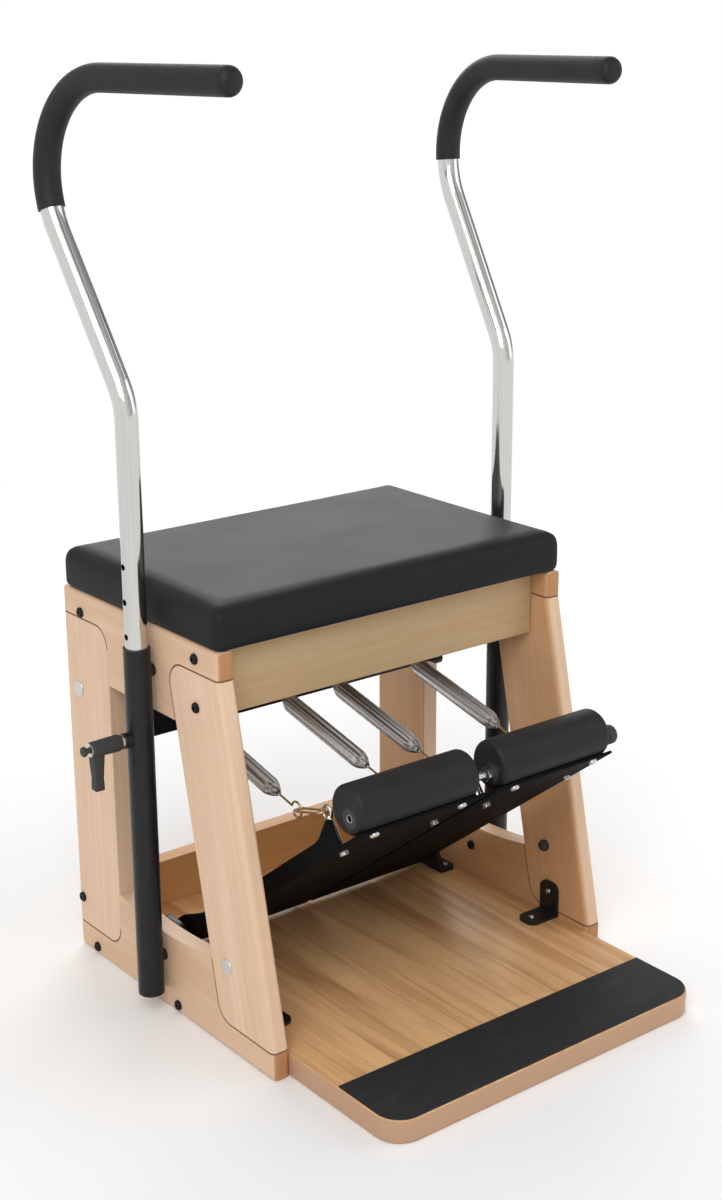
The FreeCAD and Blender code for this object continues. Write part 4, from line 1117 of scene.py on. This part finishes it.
class CHAIR_OT_metalwork(bpy.types.Operator):
    """Finish the solids that keep their shape, and ease the edges of the plates"""

    bl_idname = "chair.metalwork"
    bl_label = "Metalwork"

    def execute(self, context):
        timber = context.scene.chair_timber
        metal = context.scene.chair_springs
        fixed = ("leg_angles", "spring_bar_plates", "pivot_brackets", "spring_bar")
        plates = dict.fromkeys(fixed, "black_powder_coat")
        plates.update({side + "_pedal_frame": "pedal_coat" for side in SIDES})
        for node, finish in plates.items():
            piece = eased_copy(node, timber.edge / 2, metal.plate_shortest)
            settle(piece, node + "_steel", finish)
            stand_for(piece, node)
        finishes = {
            "seat_board": "plywood",
            "frame_bolts": "black_bolt_coat",
            "sleeve_bolts": "black_bolt_coat",
            "cover_caps": "satin_cap",
            "leg_bumpers": "black_plastic",
            "wood_screws": "zinc_plate",
            "pivot_axle": "zinc_plate",
            "link_dowel": "zinc_plate",
            "dowel_knob": "black_plastic",
        }
        for side in SIDES:
            finishes[side + "_handle_sleeve"] = "black_powder_coat"
            finishes[side + "_handle_pole"] = "polished_chrome"
            finishes[side + "_pivot_bushes"] = "dark_nylon"
            finishes[side + "_pad_core"] = "black_plastic"
            for name in ("_lever_stud", "_pad_bolts", "_spring_eyes"):
                finishes[side + name] = "zinc_plate"
            for name in ("_spring_links", "_upper_hooks", "_lower_hooks"):
                finishes[side + name] = "brass_wire"
        for node, finish in finishes.items():
            mesh = frame["nodes"][node].data
            mesh.materials.clear()
            mesh.materials.append(bpy.data.materials[finish])
        return {"FINISHED"}


class CHAIR_OT_stage(bpy.types.Operator):
    """Set the floor, the lamps, the room light and the camera"""

    bl_idname = "chair.stage"
    bl_label = "Stage"

    def execute(self, context):
        scene = context.scene
        stage = scene.chair_stage
        self.lay_floor(stage)
        self.light_room(scene, stage)
        self.hang_lamps(scene, stage)
        camera = bpy.data.cameras.new("camera")
        camera.lens = stage.lens
        camera.sensor_width = stage.sensor
        camera.sensor_fit = "AUTO"
        holder = bpy.data.objects.new("camera", camera)
        holder.location = stage.camera_place
        holder.rotation_euler = stage.camera_turn
        scene.collection.objects.link(holder)
        scene.camera = holder
        scene.view_settings.view_transform = "Standard"
        return {"FINISHED"}

    def lay_floor(self, stage):
        """Pale floor that keeps the shadow near the chair and fades to white far off."""
        clear_selection()
        bpy.ops.mesh.primitive_plane_add(size=stage.floor_size, location=(0.0, 0.0, -stage.floor_drop))
        floor = bpy.context.object
        floor.name = "floor"
        tree, shader = shader_of("pale_floor")
        shader.inputs["Base Color"].default_value = (*stage.floor, 1.0)
        shader.inputs["Roughness"].default_value = 1.0
        shader.inputs["Specular IOR Level"].default_value = 0.0
        white = tree.nodes.new("ShaderNodeEmission")
        far = tree.nodes.new("ShaderNodeVectorMath")
        far.operation = "LENGTH"
        tree.links.new(place(tree, (1.0, 1.0, 1.0)), far.inputs[0])
        fade = between(tree, far.outputs["Value"], 0.0, 1.0, where=(stage.fade_start, stage.fade_end))
        path = tree.nodes.new("ShaderNodeLightPath")
        seen = weigh(tree, "MAXIMUM", path.outputs["Is Camera Ray"], path.outputs["Is Glossy Ray"])
        whiter = weigh(tree, "MULTIPLY", seen, fade)
        surface = mix_shaders(tree, whiter, shader.outputs[0], white.outputs[0])
        tree.links.new(surface, tree.nodes["Material Output"].inputs["Surface"])
        floor.data.materials.append(bpy.data.materials["pale_floor"])

    def light_room(self, scene, stage):
        """Even room light, white where the camera looks and greyer towards the right in reflections."""
        world = bpy.data.worlds.new("room")
        world.use_nodes = True
        scene.world = world
        tree = world.node_tree
        even = tree.nodes["Background"]
        even.inputs["Strength"].default_value = stage.sky
        white = tree.nodes.new("ShaderNodeBackground")
        studio = tree.nodes.new("ShaderNodeBackground")
        for node in (even, white, studio):
            node.inputs["Color"].default_value = (*WHITE, 1.0)
        greyer = between(tree, parted(tree, "Generated")[X], 1.0, 0.30, where=(-0.5, 0.9))
        tree.links.new(greyer, studio.inputs["Strength"])
        path = tree.nodes.new("ShaderNodeLightPath")
        mirrored = weigh(tree, "MAXIMUM", path.outputs["Is Glossy Ray"], path.outputs["Is Transmission Ray"])
        light = mix_shaders(tree, mirrored, even.outputs[0], studio.outputs[0])
        light = mix_shaders(tree, path.outputs["Is Camera Ray"], light, white.outputs[0])
        tree.links.new(light, tree.nodes["World Output"].inputs["Surface"])

    def hang_lamps(self, scene, stage):
        """Large soft lamps at the front left, the right and behind."""
        aim = Vector((0.0, 0.0, stage.aim_height))
        lamps = (
            ("key_lamp", (-2.3, -2.1, 2.9), 2.2, stage.key),
            ("fill_lamp", (2.6, -1.8, 1.9), 2.4, stage.fill),
            ("back_lamp", (1.7, 2.6, 2.3), 2.4, stage.back),
        )
        for name, spot, size, power in lamps:
            lamp = bpy.data.lights.new(name, "AREA")
            lamp.shape = "SQUARE"
            lamp.size = size
            lamp.energy = power
            holder = bpy.data.objects.new(name, lamp)
            holder.location = spot
            holder.rotation_euler = (aim - Vector(spot)).to_track_quat("-Z", "Y").to_euler()
            scene.collection.objects.link(holder)


class CHAIR_PT_pieces(bpy.types.Panel):
    """Pieces of the chair"""

    bl_idname = "CHAIR_PT_pieces"
    bl_label = "Pilates chair"
    bl_space_type = "VIEW_3D"
    bl_region_type = "UI"
    bl_category = "Pilates chair"

    def draw(self, context):
        for operator in OPERATORS:
            self.layout.operator(operator.bl_idname)
        for name, group in GROUPS.items():
            box = self.layout.box()
            box.label(text=group.__doc__)
            values = getattr(context.scene, name)
            for value in group.__annotations__:
                box.prop(values, value)


GROUPS = {
    "chair_timber": ChairTimber,
    "chair_upholstery": ChairUpholstery,
    "chair_handles": ChairHandles,
    "chair_springs": ChairSprings,
    "chair_stage": ChairStage,
}
OPERATORS = (
    CHAIR_OT_finishes,
    CHAIR_OT_timber,
    CHAIR_OT_seat,
    CHAIR_OT_foot_pads,
    CHAIR_OT_grips,
    CHAIR_OT_springs,
    CHAIR_OT_levers,
    CHAIR_OT_metalwork,
    CHAIR_OT_stage,
)
CLASSES = (*GROUPS.values(), *OPERATORS, CHAIR_PT_pieces)


def register():
    """Register the classes and give the scene its groups of values."""
    for one in CLASSES:
        bpy.utils.register_class(one)
    for name, group in GROUPS.items():
        setattr(bpy.types.Scene, name, PointerProperty(type=group))


def unregister():
    """Take the groups of values and the classes away again."""
    for name in GROUPS:
        delattr(bpy.types.Scene, name)
    for one in reversed(CLASSES):
        bpy.utils.unregister_class(one)


def main():
    """Make all pieces in order."""
    register()
    bpy.ops.chair.finishes()
    bpy.ops.chair.timber()
    bpy.ops.chair.seat()
    bpy.ops.chair.foot_pads()
    bpy.ops.chair.grips()
    bpy.ops.chair.springs()
    bpy.ops.chair.levers()
    bpy.ops.chair.metalwork()
    bpy.ops.chair.stage()


if __name__ == "__main__":
    main()
